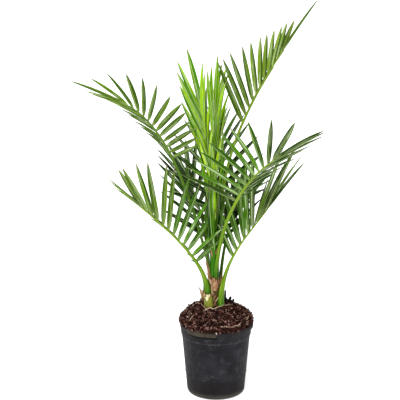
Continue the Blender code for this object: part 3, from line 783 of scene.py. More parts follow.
stub_rings = [(1.0, STEM_FOOT - 0.004)]
for ring in range(STUB_RINGS + 1):
    share = ring / STUB_RINGS
    stub_rings.append((1 + (STUB_TAPER - 1) * share, STEM_FOOT + STUB_HEIGHT * share))
stub = turned_shell("cut_leaf_base", stub_rings, STUB_SIDES)
out_x, out_y = around(1, math.radians(STUB_TURN))
stub_reach = stem_radius(0.0) + 0.0003 + STUB_HALF_DEPTH
for vertex in stub.data.vertices:
    x, y, height = vertex.co
    share = max(0.0, (height - STEM_FOOT) / STUB_HEIGHT)
    radius, turn = math.hypot(x, y), math.atan2(y, x)
    flute = 1 + STUB_FLUTING * noise.noise(Vector((*around(2.5, turn), share * 2)))
    out = radius * math.cos(turn) * STUB_HALF_DEPTH * flute + STUB_LEAN * share
    wide = radius * math.sin(turn) * STUB_HALF_WIDTH * flute
    vertex.co = (STEM_X + (stub_reach + out) * out_x - wide * out_y,
                 (stub_reach + out) * out_y + wide * out_x,
                 height + STUB_SLOPE * out * share ** 4)
top_face = max(stub.data.polygons, key=lambda face: (len(face.vertices), face.center.z)).index
inset(stub, lambda face: face.index == top_face, (CUT_INSET, 0.0004), (CUT_INSET, -0.0009),
      (CUT_INSET * 1.6, 0.0005))
cut_level = STEM_FOOT + STUB_HEIGHT * 0.80
marked(stub, "cut", [face.normal.z > 0.55 and face.center.z > cut_level
                     for face in stub.data.polygons], "FACE")
smoothed(stub, 35)

stump = Finish("cut_leaf_base", 0.5, 0.12)
side, deep, tall = (stump.axis(way) for way in "XYZ")
streak = stump.noise((520.0, 520.0, 45.0), 3.0, 0.6)
pores = stump.noise(900.0, 3.0, 0.7)
side = side - (STEM_X + stub_reach * out_x)
deep = deep - stub_reach * out_y
out_share = (side * out_x + deep * out_y) / STUB_HALF_DEPTH
off_side = abs((deep * out_x - side * out_y) / STUB_HALF_WIDTH)
fresh_cut = stump.step(off_side + out_share * 0.45, 0.66, 0.44)
cut_face = stump.mix(fresh_cut,
                     stump.ramp(streak, (0.35, (0.10, 0.06, 0.012)), (0.7, (0.34, 0.27, 0.07))),
                     stump.ramp(pores, (0.3, (0.40, 0.26, 0.10)), (0.52, (0.84, 0.74, 0.46))))
below_cut = (STEM_FOOT + STUB_HEIGHT - tall) / WEDGE_DEPTH
wedge = stump.step(off_side + below_cut * 0.62, 0.64, 0.50) * stump.step(out_share, 0.0, 0.25)
stump.coat(stump.ramp(streak, (0.3, (0.050, 0.075, 0.004)), (0.48, (0.15, 0.18, 0.012)),
                      (0.62, (0.30, 0.30, 0.045)), (0.80, (0.62, 0.55, 0.22))))
stump.coat(stump.ramp(pores, (0.3, (0.62, 0.50, 0.22)), (0.55, (0.90, 0.82, 0.56))), wedge * 0.9)
stump.coat((0.050, 0.048, 0.006), stump.step(tall, STEM_FOOT + 0.009, STEM_FOOT - 0.002) * 0.6)
stump.coat(cut_face, stump.trait("cut"))
stump.bump(streak + pores * 0.4, 0.6, 0.0006)
stump.on(stub)
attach(stub, "root")
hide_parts("cut_leaf_base_front")


# Sheaths and fibre.
# Torn, dry, papery leaf sheaths that wrap the stem, rust brown with dark ragged edges and horns.
# Loose fibres and curled scraps hang where older sheaths have rotted away.

# Sheaths: azimuth, half angle, lowest and highest, raggedness, seed, and how far it spreads open.
SHEATHS = {
    "sheath_fibre_front": (-94, 34, 0.034, 0.060, 0.011, 3, 1.15),
    "sheath_fibre_back": (88, 16, 0.030, 0.055, 0.007, 5, -0.16),
    "sheath_fibre_left": (154, 14, 0.036, 0.060, 0.010, 8, -0.16),
}
SHEATH_CLEAR = 0.0007
SHEATH_FLARE = 0.0012
SHEATH_LIFT = 0.0008
SHEATH_RIPPLE = 0.0007
SHEATH_ACROSS = 26
SHEATH_UP = 14
SHEATH_THICKNESS = 0.0005


def heading(degrees):
    """The level direction at an azimuth."""
    return Vector((*around(1, math.radians(degrees)), 0))


def torn_sheath(name, turn, half_angle, low, high, ragged, seed, spread):
    """A curved sheet that hugs the stem, with a torn upper edge drawn up to a horn at each side."""
    bpy.ops.object.select_all(action="DESELECT")
    bpy.ops.mesh.primitive_grid_add(x_subdivisions=SHEATH_ACROSS, y_subdivisions=SHEATH_UP, size=2)
    piece = bpy.context.object
    rule = random.Random(seed)
    teeth = [rule.uniform(-0.8, 1.0) for _ in range(SHEATH_ACROSS + 1)]
    edges = []
    for vertex in piece.data.vertices:
        across = vertex.co.x
        level = (vertex.co.y + 1) / 2
        horn = 1.1 * abs(across) ** 6
        notch = spread * math.exp(-((across - 0.50) / 0.20) ** 2) if spread > 0 else 0.0
        tooth = teeth[round((across + 1) / 2 * SHEATH_ACROSS)]
        tear = (0.48 * tooth + horn * 0.8 - notch * 0.9) * ragged
        height = low + (high - low) * level + tear * level ** 2
        angle = math.radians(turn + half_angle * across * (1.0 + spread * level ** 1.5))
        radius = stem_radius(min(height, STEM_HEIGHT)) + SHEATH_CLEAR + SHEATH_FLARE * level ** 3
        radius += (0.0036 * abs(across) ** 3 + 0.0016) * spread * level ** 2
        radius += SHEATH_LIFT * (1 - level) ** 3
        radius += SHEATH_RIPPLE * noise.noise(Vector((across * 2.2, level * 2.0, seed)))
        edges.append(max(level ** 20, abs(across) ** 9))
        x, y = around(radius, angle)
        vertex.co = (STEM_X + x, y, STEM_FOOT + height)
    marked(piece, "edge", edges)
    named(piece, name)
    middle_face = piece.data.polygons[len(piece.data.polygons) // 2]
    if middle_face.normal.dot(heading(turn)) < 0:
        piece.data.flip_normals()
    applied(piece, "SOLIDIFY", thickness=SHEATH_THICKNESS, offset=0.0)
    smoothed(piece, 45)
    return piece


papery = Finish("dry_sheath", 0.78, 0.08)
strands = papery.noise((700.0, 700.0, 70.0), 4.0, 0.65)
papery.coat(papery.ramp(strands, (0.28, (0.085, 0.024, 0.008)), (0.5, (0.29, 0.115, 0.050)),
                        (0.74, (0.60, 0.36, 0.23))))
papery.coat(papery.ramp(strands, (0.28, (0.22, 0.13, 0.05)), (0.7, (0.62, 0.52, 0.30))),
            papery.step(papery.noise(170.0, 3.0, 0.6), 0.5, 0.68))
papery.coat((0.030, 0.008, 0.005), papery.trait("edge") * 0.9)
papery.bump(strands, 0.7, 0.0006)
for name, sizes in SHEATHS.items():
    piece = torn_sheath(name.replace("fibre", "paper"), *sizes)
    papery.on(piece)
    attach(piece, "root")
    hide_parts(name)

# Scraps: azimuth, distance from the stem's axis, shift to the left seen from outside, height,
# length, width, lean out, lean to the side and curl.
SCRAPS = (
    (-100, 0.0120, 0.0222, 0.196, 0.030, 0.0066, 4, 9, 0.4),
    (-105, 0.0135, 0.0205, 0.190, 0.030, 0.0050, 10, -4, 0.5),
    (-96, 0.0150, 0.0175, 0.202, 0.018, 0.0060, 0, 16, -0.4),
    (-100, 0.0120, 0.0165, 0.202, 0.020, 0.0100, 2, 6, 0.3),
    (-100, 0.0126, 0.0125, 0.204, 0.016, 0.0080, 2, -8, 0.3),
    (-112, 0.0205, 0.0010, 0.202, 0.014, 0.0060, 20, -14, 0.5),
    (-90, 0.0180, 0.0060, 0.190, 0.020, 0.0050, 2, -18, 0.4),
    (-92, 0.0160, 0.0020, 0.184, 0.026, 0.0060, -6, -22, 0.3),
    (-88, 0.0170, -0.0030, 0.183, 0.020, 0.0050, 4, 14, -0.4),
    (-86, 0.0175, -0.0085, 0.181, 0.014, 0.0066, 18, -10, 0.5),
    (-84, 0.0165, -0.0130, 0.181, 0.013, 0.0060, 24, -20, 0.5),
    (-80, 0.0185, -0.0105, 0.180, 0.010, 0.0056, 30, 10, -0.4),
    (-90, 0.0120, 0.0060, 0.228, 0.018, 0.0050, 4, 18, 0.4),
    (-90, 0.0115, -0.0085, 0.226, 0.024, 0.0046, 6, -16, 0.4),
    (-100, 0.0128, 0.0020, 0.206, 0.024, 0.0056, 3, 4, 0.3),
    (-96, 0.0098, 0.0085, 0.236, 0.046, 0.0070, 0, 7, 0.1),
    (-110, 0.0092, 0.0060, 0.240, 0.036, 0.0056, 2, 12, -0.1),
    (-96, 0.0086, 0.0030, 0.284, 0.018, 0.0054, 3, 10, 0.4),
    (-82, 0.0086, -0.0010, 0.290, 0.016, 0.0046, 6, -12, -0.4),
    (-120, 0.0090, 0.0050, 0.336, 0.028, 0.0044, 4, 8, 0.3),
    (-110, 0.0100, 0.0075, 0.378, 0.026, 0.0040, 6, 8, 0.3),
    (-40, 0.0086, 0.0000, 0.326, 0.026, 0.0044, 4, -6, -0.3),
    (170, 0.0125, 0.0000, 0.196, 0.026, 0.0055, 14, 0, 0.8),
    (120, 0.0120, 0.0000, 0.188, 0.024, 0.0050, 12, 0, -0.6),
    (75, 0.0120, 0.0000, 0.190, 0.026, 0.0052, 14, 0, 0.7),
    (20, 0.0124, 0.0000, 0.192, 0.024, 0.0046, 12, 0, -0.5),
    (-20, 0.0128, 0.0000, 0.188, 0.020, 0.0040, 16, 0, 0.6),
    (150, 0.0100, 0.0000, 0.222, 0.022, 0.0040, 8, 0, 0.5),
    (50, 0.0100, 0.0000, 0.222, 0.022, 0.0040, 8, 0, -0.5),
    (100, 0.0086, 0.0000, 0.300, 0.030, 0.0046, 5, 0, 0.3),
)
SCRAP_STEPS = 9
SCRAP_CURL = 60
SCRAP_CUP = 0.35
SCRAP_SHEET = 0.0004


def swung(first, second, angle):
    """A direction turned by an angle in radians towards another square to it."""
    return first * math.cos(angle) + second * math.sin(angle)


def scrap_arrays(turn, distance, shift, height, length, width, lean, side_lean, curl):
    """A narrow curled strip of dead sheath, thin but closed, torn to a point at the top."""
    out = heading(turn)
    left = Vector((out.y, -out.x, 0))
    point = Vector((STEM_X, 0, height)) + out * distance + left * shift
    rings = []
    for step in range(SCRAP_STEPS + 1):
        share = step / SCRAP_STEPS
        ahead = swung(UP, out, math.radians(lean + SCRAP_CURL * curl * share ** 2))
        ahead = (ahead + left * math.tan(math.radians(side_lean * (1 + share)))).normalized()
        across = out.cross(ahead).normalized()
        face = ahead.cross(across)
        half = width / 2 * (1 - share) ** 0.6 * (1 - 0.3 * (1 - share) ** 3) + 0.0001
        cup = SCRAP_CUP * half
        section = ((-1, cup), (0, 0.0), (1, cup), (1, cup - SCRAP_SHEET), (0, -1.25 * SCRAP_SHEET),
                   (-1, cup - SCRAP_SHEET))
        rings += [(point + across * half * side - face * lift)[:] for side, lift in section]
        point = point + ahead * (length / SCRAP_STEPS)
    return np.array(rings), wrapped_faces(SCRAP_STEPS + 1, len(section))


rule = random.Random(29)
scraps = gathered("sheath_scraps", [scrap_arrays(*scrap) for scrap in SCRAPS],
                  [rule.random() for _ in SCRAPS])
scraps.data.shade_smooth()
torn = Finish("sheath_scraps", 0.8, 0.08)
strands = torn.noise((800.0, 800.0, 90.0), 4.0, 0.65)
torn.coat(torn.ramp(strands, (0.3, (0.04, 0.013, 0.005)), (0.7, (0.32, 0.17, 0.065))))
torn.coat(torn.ramp(strands, (0.3, (0.20, 0.105, 0.035)), (0.7, (0.66, 0.49, 0.28))),
          torn.step(torn.trait("tint"), 0.35, 0.65))
torn.bump(strands, 0.6, 0.0005)
torn.on(scraps)

HAIRS = 420
HAIR_SHAPES = 5
hair_places = []
for _ in range(HAIRS):
    share = rule.random() ** 1.5
    turn = rule.uniform(0, math.tau)
    x, y = around(stem_radius(STEM_HEIGHT * share) + rule.uniform(-0.0003, 0.0012), turn)
    long = rule.uniform(0.006, 0.020)
    thick = long * rule.uniform(0.35, 0.8)
    matrix = (Matrix.Translation((STEM_X + x, y, STEM_FOOT + STEM_HEIGHT * share * 0.96))
              @ turned(turn, "Z") @ turned(rule.uniform(-0.1, 0.45), "Y")
              @ turned(rule.uniform(-0.5, 0.5), "X") @ turned(-math.pi / 2, "Y")
              @ Matrix.Diagonal((long, thick, thick, 1.0)))
    hair_places.append((rule.randrange(HAIR_SHAPES), matrix, rule.random()))
hairs = strewn("stem_fibres", [strand_shape(seed + 60, 0.6) for seed in range(HAIR_SHAPES)],
               hair_places)
hair = Finish("stem_fibres", 0.75, 0.08)
hair.coat(hair.ramp(hair.trait("tint"), (0.0, (0.03, 0.012, 0.008)), (0.4, (0.16, 0.070, 0.035)),
                    (0.75, (0.42, 0.26, 0.13)), (1.0, (0.70, 0.56, 0.36))))
hair.bump(hair.noise(900.0), 0.3, 0.0003)
hair.on(hairs)

# The dead black leaf stump behind the stem: x, y, height, width and lean of each of its spikes.
SPIKES = ((0.0178, 0.012, 0.031, 0.0070, 2), (0.0205, 0.011, 0.028, 0.0066, -5),
          (0.0145, 0.014, 0.025, 0.0076, 8), (0.0255, 0.012, 0.019, 0.0080, 12),
          (0.0310, 0.012, 0.013, 0.0080, 20))
SPIKE_STEPS = 7
spike_shapes = []
for x, y, tall, wide, lean in SPIKES:
    tip = Vector((x + tall * math.sin(math.radians(lean)), y, STEM_FOOT - 0.004 + tall))
    low = Vector((x, y, STEM_FOOT - 0.006))
    path, radii = [], []
    for step in range(SPIKE_STEPS + 1):
        share = step / SPIKE_STEPS
        path.append(low.lerp(tip, share) + Vector((0.0007 * math.sin(2.3 * step + 40 * x), 0, 0)))
        radii.append(wide / 2 * (1 - share ** 3 * 0.75) * (1 + 0.25 * math.sin(3.1 * step)))
    spike_shapes.append(tube_arrays(path, radii, SPIKE_STEPS))
spikes = gathered("dead_leaf_stump", spike_shapes, [0.5 for _ in SPIKES])
charred = Finish("dead_black_leaf", 0.8, 0.04)
strands = charred.noise((700.0, 700.0, 80.0), 3.0, 0.6)
charred.coat(charred.ramp(strands, (0.3, (0.004, 0.004, 0.004)), (0.75, (0.040, 0.034, 0.026))))
charred.bump(strands, 0.8, 0.0008)
charred.on(spikes)
for piece in (scraps, hairs, spikes):
    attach(piece, "root")


# Fronds.
# Living palm leaves: a firm petiole, a rachis and two ranks of stiff leaflets folded along
# their midribs. Each grows out of the stem and arches away from it, the youngest upright.
# Each piece follows the same curve and the same rule of leaflets as its solid.

GAP = 0.0003
RING = 0.0050
SIDE_FLAT = 0.0004
TUBE_POINTS = 13
PATH_STEPS = 200
BLADE_START_RADIUS = 0.0021
RACHIS_TIP_RADIUS = 0.0009
LEAFLET_STATIONS = ((0.0, 0.34), (0.28, 1.0), (0.68, 0.82), (1.0, 0.05))
LEAFLET_STAGGER = 0.3
LEAFLET_HALF_WIDTH = 0.039
LEAFLET_FOLD = 0.018
LEAFLET_THICKNESS = 0.013
LEAFLET_DROOP = 0.03
PROBE_WIDE = 1.25
PROBE_THICK = 2.0
WILD = 2.5
SWINGS = ((0, 0), (4, 0), (-4, 0), (0, 6), (0, -6), (8, 4), (-8, -4), (8, -6), (-8, 6),
          (13, 0), (-13, 0), (0, 14), (0, -14), (16, 12), (-16, -12), (20, 0), (-20, 0))

# A frond's foot is its azimuth, then its distance from the stem's axis on the stem's top, or the
# height where it clasps the stem's side. A curve that leaves the foot at rise comes to reach and
# top at tip_rise, and is bare up to a share of its length. Leaflets are leaf long, times sizes at
# foot, middle and tip, and stand off by spread and lift from foot to tip; bias is the spread of
# the two ranks, roll turns both, and end is the last leaflet. Angles are degrees.
Frond = namedtuple("Frond", "green foot foot_radius azimuth reach top rise tip_rise hold bare "
                   "pairs leaf sizes spread close bias lift roll end sweep lean variant",
                   defaults=(0.0, 0, ""))
FRONDS = {
    "frond_front_right": Frond(
        "green", (-60, RING, None), 0.0022, -45, 0.155, 0.508, 87, 34, (0.40, 0.30), 0.56,
        10, 0.109, (1.09, 1.00, 1.15), (88, 11), 2.1, (0.92, 1.07), (37, 25), -27, 1.29),
    "frond_lower_left": Frond(
        "green", (195, None, 0.214), 0.0052, 188, 0.144, 0.390, 90, 48, (0.30, 0.15), 0.27,
        12, 0.128, (0.50, 1.00, 0.70), (102, 11), 1.4, (0.81, 0.99), (42, 40), 47, 0.33),
    "frond_upper_right": Frond(
        "green", (0, RING, None), 0.0022, 4, 0.128, 0.690, 90, 58, (0.45, 0.40), 0.67,
        11, 0.098, (1.35, 1.00, 0.69), (51, 8), 1.4, (1.02, 0.90), (35, 40), -47, 1.22),
    "frond_upper_left": Frond(
        "green", (180, RING, None), 0.0022, 180, 0.169, 0.587, 76, 26, (0.35, 0.25), 0.64,
        12, 0.089, (0.71, 1.00, 1.05), (76, 15), 2.4, (1.11, 0.77), (27, 5), 47, 1.33),
    "frond_lower_right": Frond(
        "green", (-50, None, 0.189), 0.0052, 8, 0.105, 0.376, 89, 54, (0.44, 0.30), 0.46,
        9, 0.152, (0.50, 1.00, 0.90), (69, 18), 1.7, (1.11, 0.79), (51, 32), -37, 0.78),
    "young_frond_left": Frond(
        "young", (120, RING, None), 0.0022, 104, 0.021, 0.564, 89, 84, (0.40, 0.35), 0.60,
        6, 0.120, (0.67, 1.00, 0.99), (24, 16), 2.0, (0.82, 0.73), (49, 33), -43, 1.10,
        0.020, 10),
    "young_frond_right": Frond(
        "young", (-120, RING, None), 0.0022, -96, 0.011, 0.572, 89, 86, (0.40, 0.35), 0.60,
        8, 0.126, (0.69, 1.00, 0.80), (34, 5), 2.0, (0.94, 0.62), (13, 7), 49, 0.92,
        0.000, 3),
    "spear_leaf": Frond(
        "young", (0, 0.0, None), 0.0022, 20, 0.006, 0.550, 90, 88, (0.40, 0.35), 0.84,
        2, 0.125, (0.9, 1.0, 0.95), (10, 5), 1.0, (1.0, 1.0), (15, 15), 0, 0.95),
    # The back fronds take the dark looks: darker copies of the green that paint the shade they
    # stand in.
    "frond_back_left": Frond(
        "dark", (125, None, 0.194), 0.0034, 116, 0.120, 0.410, 87, 32, (0.40, 0.35), 0.46,
        8, 0.130, (0.85, 1.0, 0.8), (76, 10), 0.9, (0.75, 1.0), (25, 20), -8, 0.85),
    "frond_back_right": Frond(
        "dark", (50, None, 0.194), 0.0034, 58, 0.110, 0.375, 86, 26, (0.40, 0.35), 0.48,
        8, 0.125, (0.85, 1.0, 0.8), (76, 10), 0.9, (1.0, 0.8), (32, 20), 0, 0.85),
    "frond_back": Frond(
        "dark", (60, RING, None), 0.0022, 88, 0.130, 0.480, 88, 36, (0.40, 0.35), 0.46,
        8, 0.125, (0.9, 1.0, 0.8), (84, 12), 0.8, (1.0, 1.0), (34, 25), 0, 0.85, variant="b"),
}


def frond_foot(frond):
    """The middle of a frond's foot, just clear of the stem that it grows from."""
    turn, distance, height = frond.foot
    thick = frond.foot_radius
    if height is None:
        dip = thick * math.cos(math.radians(frond.rise))
        height = STEM_FOOT + STEM_HEIGHT + GAP + abs(dip)
    else:
        distance = stem_radius(height - STEM_FOOT) + GAP + thick - SIDE_FLAT
    x, y = around(distance, math.radians(turn))
    return Vector((STEM_X + x, y, height))


def rachis_curve(frond, shares):
    """Places and directions along a frond's rachis, at shares of its length."""
    out = heading(frond.azimuth)
    across = Vector((-out.y, out.x, 0))
    start = frond_foot(frond)
    end = Vector((STEM_X, 0, 0)) + out * frond.reach + across * frond.sweep + UP * frond.top
    chord = (end - start).length
    last = swung(out, UP, math.radians(frond.tip_rise))
    last = (last + across * math.tan(math.radians(frond.lean))).normalized()
    handle_start = start + swung(out, UP, math.radians(frond.rise)) * chord * frond.hold[0]
    handle_end = end - last * chord * frond.hold[1]
    path = []
    for step in range(PATH_STEPS + 1):
        t = step / PATH_STEPS
        path.append(start * (1 - t) ** 3 + handle_start * 3 * t * (1 - t) ** 2
                    + handle_end * 3 * t * t * (1 - t) + end * t ** 3)
    lengths = [0.0]
    for here, ahead in zip(path, path[1:]):
        lengths.append(lengths[-1] + (ahead - here).length)
    places = []
    index = 0
    for share in shares:
        target = share * lengths[-1]
        while index < PATH_STEPS - 1 and lengths[index + 1] < target:
            index += 1
        here, ahead = path[index], path[index + 1]
        part = (target - lengths[index]) / (lengths[index + 1] - lengths[index])
        places.append((here.lerp(ahead, part), (ahead - here).normalized()))
    return places, across


def rachis_radius(frond, share):
    """A frond's half thickness at a share of its length."""
    bare = frond.bare
    if share < bare:
        swell = frond.foot_radius - BLADE_START_RADIUS
        return BLADE_START_RADIUS + swell * (1 - share / bare) ** 1.5
    part = (share - bare) / (1 - bare)
    return BLADE_START_RADIUS + (RACHIS_TIP_RADIUS - BLADE_START_RADIUS) * part


def mesh_tree(mesh):
    """A search tree over a mesh's faces, for finding what a leaflet would touch."""
    return BVHTree.FromPolygons([vertex.co[:] for vertex in mesh.vertices],
                                [face.vertices[:] for face in mesh.polygons])


def stalk_tree(frond):
    """The plain round stalk that the rule of leaflets keeps clear of."""
    shares = [step / (TUBE_POINTS - 1) for step in range(TUBE_POINTS)]
    curve = bpy.data.curves.new("stalk", "CURVE")
    curve.dimensions = "3D"
    curve.bevel_depth = 1.0
    curve.bevel_resolution = 1
    curve.use_fill_caps = True
    spline = curve.splines.new("POLY")
    spline.points.add(TUBE_POINTS - 1)
    for point, share, (place, _) in zip(spline.points, shares, rachis_curve(frond, shares)[0]):
        point.co = (*place, 1.0)
        point.radius = rachis_radius(frond, share)
    stalk = linked("stalk", curve)
    bpy.context.view_layer.update()
    graph = bpy.context.evaluated_depsgraph_get()
    mesh = bpy.data.meshes.new_from_object(stalk.evaluated_get(graph), depsgraph=graph)
    tree = mesh_tree(mesh)
    bpy.data.objects.remove(stalk, do_unlink=True)
    bpy.data.meshes.remove(mesh)
    return tree


def probe_shape():
    """Points and faces of the plain leaflet of length 1 that stands for the finer one in tests."""
    points, faces = [], []
    for along, width in LEAFLET_STATIONS:
        for side, face in ((0, 1), (1, 0), (0, -1), (-1, 0)):
            across = LEAFLET_HALF_WIDTH * width * side * PROBE_WIDE
            fold = LEAFLET_FOLD * width * (abs(side) - 0.4)
            rise = LEAFLET_THICKNESS * 0.5 * face * max(width, 0.2) * PROBE_THICK
            bow = LEAFLET_DROOP * (along - along ** 2 * 2)
            points.append(Vector((along, -across, fold + rise + bow)))
    last = 4 * (len(LEAFLET_STATIONS) - 1)
    for ring in range(0, last, 4):
        for corner in range(4):
            a, b = ring + corner, ring + (corner + 1) % 4
            faces.append([a, b, b + 4, a + 4])
    faces += [[0, 1, 2, 3], [last, last + 1, last + 2, last + 3]]
    return points, faces


def blade_axes(frond, along, across, settled=1.0):
    """The sideways and upward directions of a blade at a place on its rachis."""
    flank = (across - along * across.dot(along)).normalized()
    crown = along.cross(flank)
    roll = math.radians(frond.roll * settled)
    return swung(flank, crown, roll), swung(crown, -flank, roll)


def placed(place, point, upper, length):
    """A matrix with X along point and Z nearly along upper, scaled evenly to length."""
    upper = (upper - point * upper.dot(point)).normalized()
    turn = Matrix((point, upper.cross(point), upper)).transposed().to_4x4()
    return Matrix.Translation(place) @ turn @ Matrix.Scale(length, 4)


def leaflet_place(frond, place, along, across, share, side, swing, nod):
    """The matrix that carries the leaflet of length 1 to its place on the rachis."""
    flank, crown = blade_axes(frond, along, across)
    base, tip = frond.spread
    base *= frond.bias[0 if side > 0 else 1]
    spread = math.radians(max(base + (tip - base) * share ** frond.close + swing, 1.0))
    lift = math.radians(frond.lift[0] + (frond.lift[1] - frond.lift[0]) * share + nod)
    point = swung(along, swung(flank * side, crown, lift), spread)
    base, middle, end = frond.sizes
    size = (base * (1 - share) * (1 - 2 * share) + 4 * middle * share * (1 - share)
            + end * share * (2 * share - 1))
    return placed(place, point, swung(crown, -flank * side, lift), frond.leaf * size)


probe_points, probe_faces = probe_shape()


def leaflets_of(name, frond, obstacles):
    """Places of a frond's leaflets by the rule: each turns a little to pass its neighbours."""
    mine = []

    def fits(matrix, share, lower):
        test = BVHTree.FromPolygons([matrix @ point for point in probe_points], probe_faces)
        if any(test.overlap(tree) for tree in obstacles):
            return False
        mine.append((matrix, test, share, lower))
        return True

    rule = random.Random(name + frond.variant)
    plan = []
    for pair in range(frond.pairs):
        for side, stagger in ((1, LEAFLET_STAGGER), (-1, 0.0)):
            plan.append(((pair + stagger) / (frond.pairs - 0.5), side,
                         rule.uniform(-WILD, WILD), rule.uniform(-WILD, WILD)))
    plan.sort(key=lambda leaflet: leaflet[0])
    shares = [frond.bare + (1 - frond.bare) * leaflet[0] for leaflet in plan]
    places, across = rachis_curve(frond, [*shares, 1.0])
    for (share, side, swing, nod), (place, along) in zip(plan, places):
        for more_swing, more_nod in SWINGS:
            matrix = leaflet_place(frond, place, along, across, share, side,
                                   more_swing + swing, more_nod + nod)
            if fits(matrix, share, side * frond.roll < 0):
                break
    place, along = places[-1]
    upper = blade_axes(frond, along, across, 0.0)[1]
    fits(placed(place, along, upper, frond.leaf * frond.end), 1.0, False)
    return mine


fixed = [mesh_tree(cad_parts[node].data)
         for node in ("soil", "stem", "cut_leaf_base_front", *SHEATHS)]
stalks = {name: stalk_tree(frond) for name, frond in FRONDS.items()}
grown = {}
for name, frond in FRONDS.items():
    obstacles = fixed + [tree for other, tree in stalks.items() if other != name]
    obstacles += [leaflet[1] for leaflets in grown.values() for leaflet in leaflets]
    grown[name] = leaflets_of(name, frond, obstacles)

# The finer leaflet: place and width of its rings along a length of 1, and corners of a ring.
BLADE_RINGS = ((0.0, 0.30), (0.03, 0.46), (0.08, 0.74), (0.16, 0.94), (0.30, 1.0), (0.48, 1.0),
               (0.62, 0.93), (0.74, 0.79), (0.84, 0.60), (0.92, 0.38), (0.975, 0.16), (1.0, 0.02))
BLADE_SECTION = (-1.0, -0.5, 0.0, 0.5, 1.0, 0.5, 0.0, -0.5)
BLADE_U = (0.0, 0.25, 0.5, 0.75, 1.0, 0.75, 0.5, 0.25, 0.0)
BLADE_LEAST_HALF = 0.0040
BLADE_HALF_GROWTH = 0.010
BLADE_FOLD = 0.78
BLADE_SHEET = 0.0036
BLADE_KEEL = 0.0085
BLADE_CREASE = 52


def blade_arrays(rule, length, base_turn=0.0, broad=1.0, openness=1.0):
    """Points of one finer leaflet, scaled to length 1, with its own bend, twist and width."""
    half = broad * rule.uniform(0.92, 1.08) * (BLADE_LEAST_HALF / length + BLADE_HALF_GROWTH)
    sideways = rule.uniform(-0.030, 0.030)
    sag = rule.uniform(-0.010, 0.028)
    twist = rule.uniform(-0.35, 0.35) * openness
    fold = half * BLADE_FOLD * openness * rule.uniform(0.75, 1.15)
    points = []
    for along, width in BLADE_RINGS:
        bow = LEAFLET_DROOP * (along - 2 * along ** 2) - sag * along ** 2
        turn = base_turn + twist * along
        for corner, place in enumerate(BLADE_SECTION):
            side = half * width * place
            rise = fold * width * (abs(place) ** 1.2 - 0.4)
            if corner > 4:
                rise -= (BLADE_KEEL if place == 0 else BLADE_SHEET) * max(width, 0.15)
            points.append((along,
                           side * math.cos(turn) - rise * math.sin(turn) + sideways * along ** 2,
                           side * math.sin(turn) + rise * math.cos(turn) + bow))
    return np.array(points)


def strip_spots(rings, corners):
    """The faces between rings of corners, then a cap at each end, as (ring, corner) places."""
    spots = [[(ring, corner), (ring, corner + 1), (ring + 1, corner + 1), (ring + 1, corner)]
             for ring in range(rings - 1) for corner in range(corners)]
    return spots + [[(0, corner) for corner in range(corners - 1, -1, -1)],
                    [(rings - 1, corner) for corner in range(corners)]]


def strip_faces(spots, corners):
    return [[ring * corners + corner % corners for ring, corner in face] for face in spots]


def grown_mesh(name, bodies, faces, uv, tones):
    """One mesh of many strips that share their faces' pattern: UV map blade, attribute tone."""
    each = len(bodies[0])
    all_faces = [[corner + each * number for corner in face]
                 for number in range(len(bodies)) for face in faces]
    piece = from_arrays(name, np.concatenate(bodies), all_faces)
    layer = piece.data.uv_layers.new(name="blade")
    layer.data.foreach_set("uv", np.tile(np.array(uv, np.float32).ravel(), len(bodies)))
    marked(piece, "tone", np.repeat(tones, each))
    piece.data.shade_smooth()
    return piece


# A blade's section runs round the other way from a stalk's, so its faces are turned outward.
blade_spots = [face[::-1] for face in strip_spots(len(BLADE_RINGS), len(BLADE_SECTION))]
blade_faces = strip_faces(blade_spots, len(BLADE_SECTION))
blade_uv = []
for face in blade_spots:
    under = 2.0 if len(face) == 4 and min(corner for _, corner in face) > 3 else 0.0
    blade_uv += [(BLADE_U[corner], BLADE_RINGS[ring][0] + under) for ring, corner in face]

STALK_RINGS = 48
STALK_CORNERS = 14
STALK_WIDE = 1.42
STALK_DEEP = 1.18
STALK_GROOVE = 0.42
STALK_SWELL = {"green": 0.32, "young": 0.55, "dark": 0.0}
TOP_ROOT = 0.007
HEEL = 0.0040
CLASP = 0.55


def stalk_arrays(frond):
    """Points of a petiole and rachis: round below, channelled above, broad where it clasps."""
    on_top = frond.foot[2] is None
    steps = STALK_RINGS - (2 if on_top else 3)
    shares = [(step / steps) ** 1.15 for step in range(steps + 1)]
    places, across = rachis_curve(frond, shares)
    first, ahead = places[0]
    if on_top:
        rings = [(first - ahead * TOP_ROOT, ahead, 0.0, 1.0)]
    else:
        inward = Vector((STEM_X - first.x, -first.y, 0)).normalized()
        rings = [(first - ahead * HEEL * 1.6 + inward * HEEL * 0.75, ahead, 0.0, 0.25),
                 (first - ahead * HEEL + inward * HEEL * 0.40, ahead, 0.0, 0.75)]
    rings += [(place, along, share, 1.0) for (place, along), share in zip(places, shares)]
    points = []
    for place, along, share, full in rings:
        flank, crown = blade_axes(frond, along, across, fade(share, 0.08, frond.bare))
        radius = rachis_radius(frond, share) * full
        radius *= 1 + STALK_SWELL[frond.green] * (1 - fade(share, 0.20, 0.62))
        clasp = 1 + CLASP * (1 - min(1.0, share / 0.16)) ** 1.5
        wide = radius * STALK_WIDE * clasp
        deep = radius * STALK_DEEP
        groove = radius * STALK_GROOVE * (1 - 0.7 * fade(share, frond.bare, 1.0))
        for corner in range(STALK_CORNERS):
            turn = math.tau * corner / STALK_CORNERS
            side, rise = math.cos(turn), math.sin(turn)
            if rise > 0:
                rise -= groove / deep * math.exp(-(side / 0.5) ** 2)
            points.append((place + flank * wide * side + crown * deep * rise)[:])
    return np.array(points)


stalk_spots = strip_spots(STALK_RINGS, STALK_CORNERS)
stalk_faces = strip_faces(stalk_spots, STALK_CORNERS)
stalk_uv = [(corner / STALK_CORNERS, ring / (STALK_RINGS - 1))
            for face in stalk_spots for ring, corner in face]


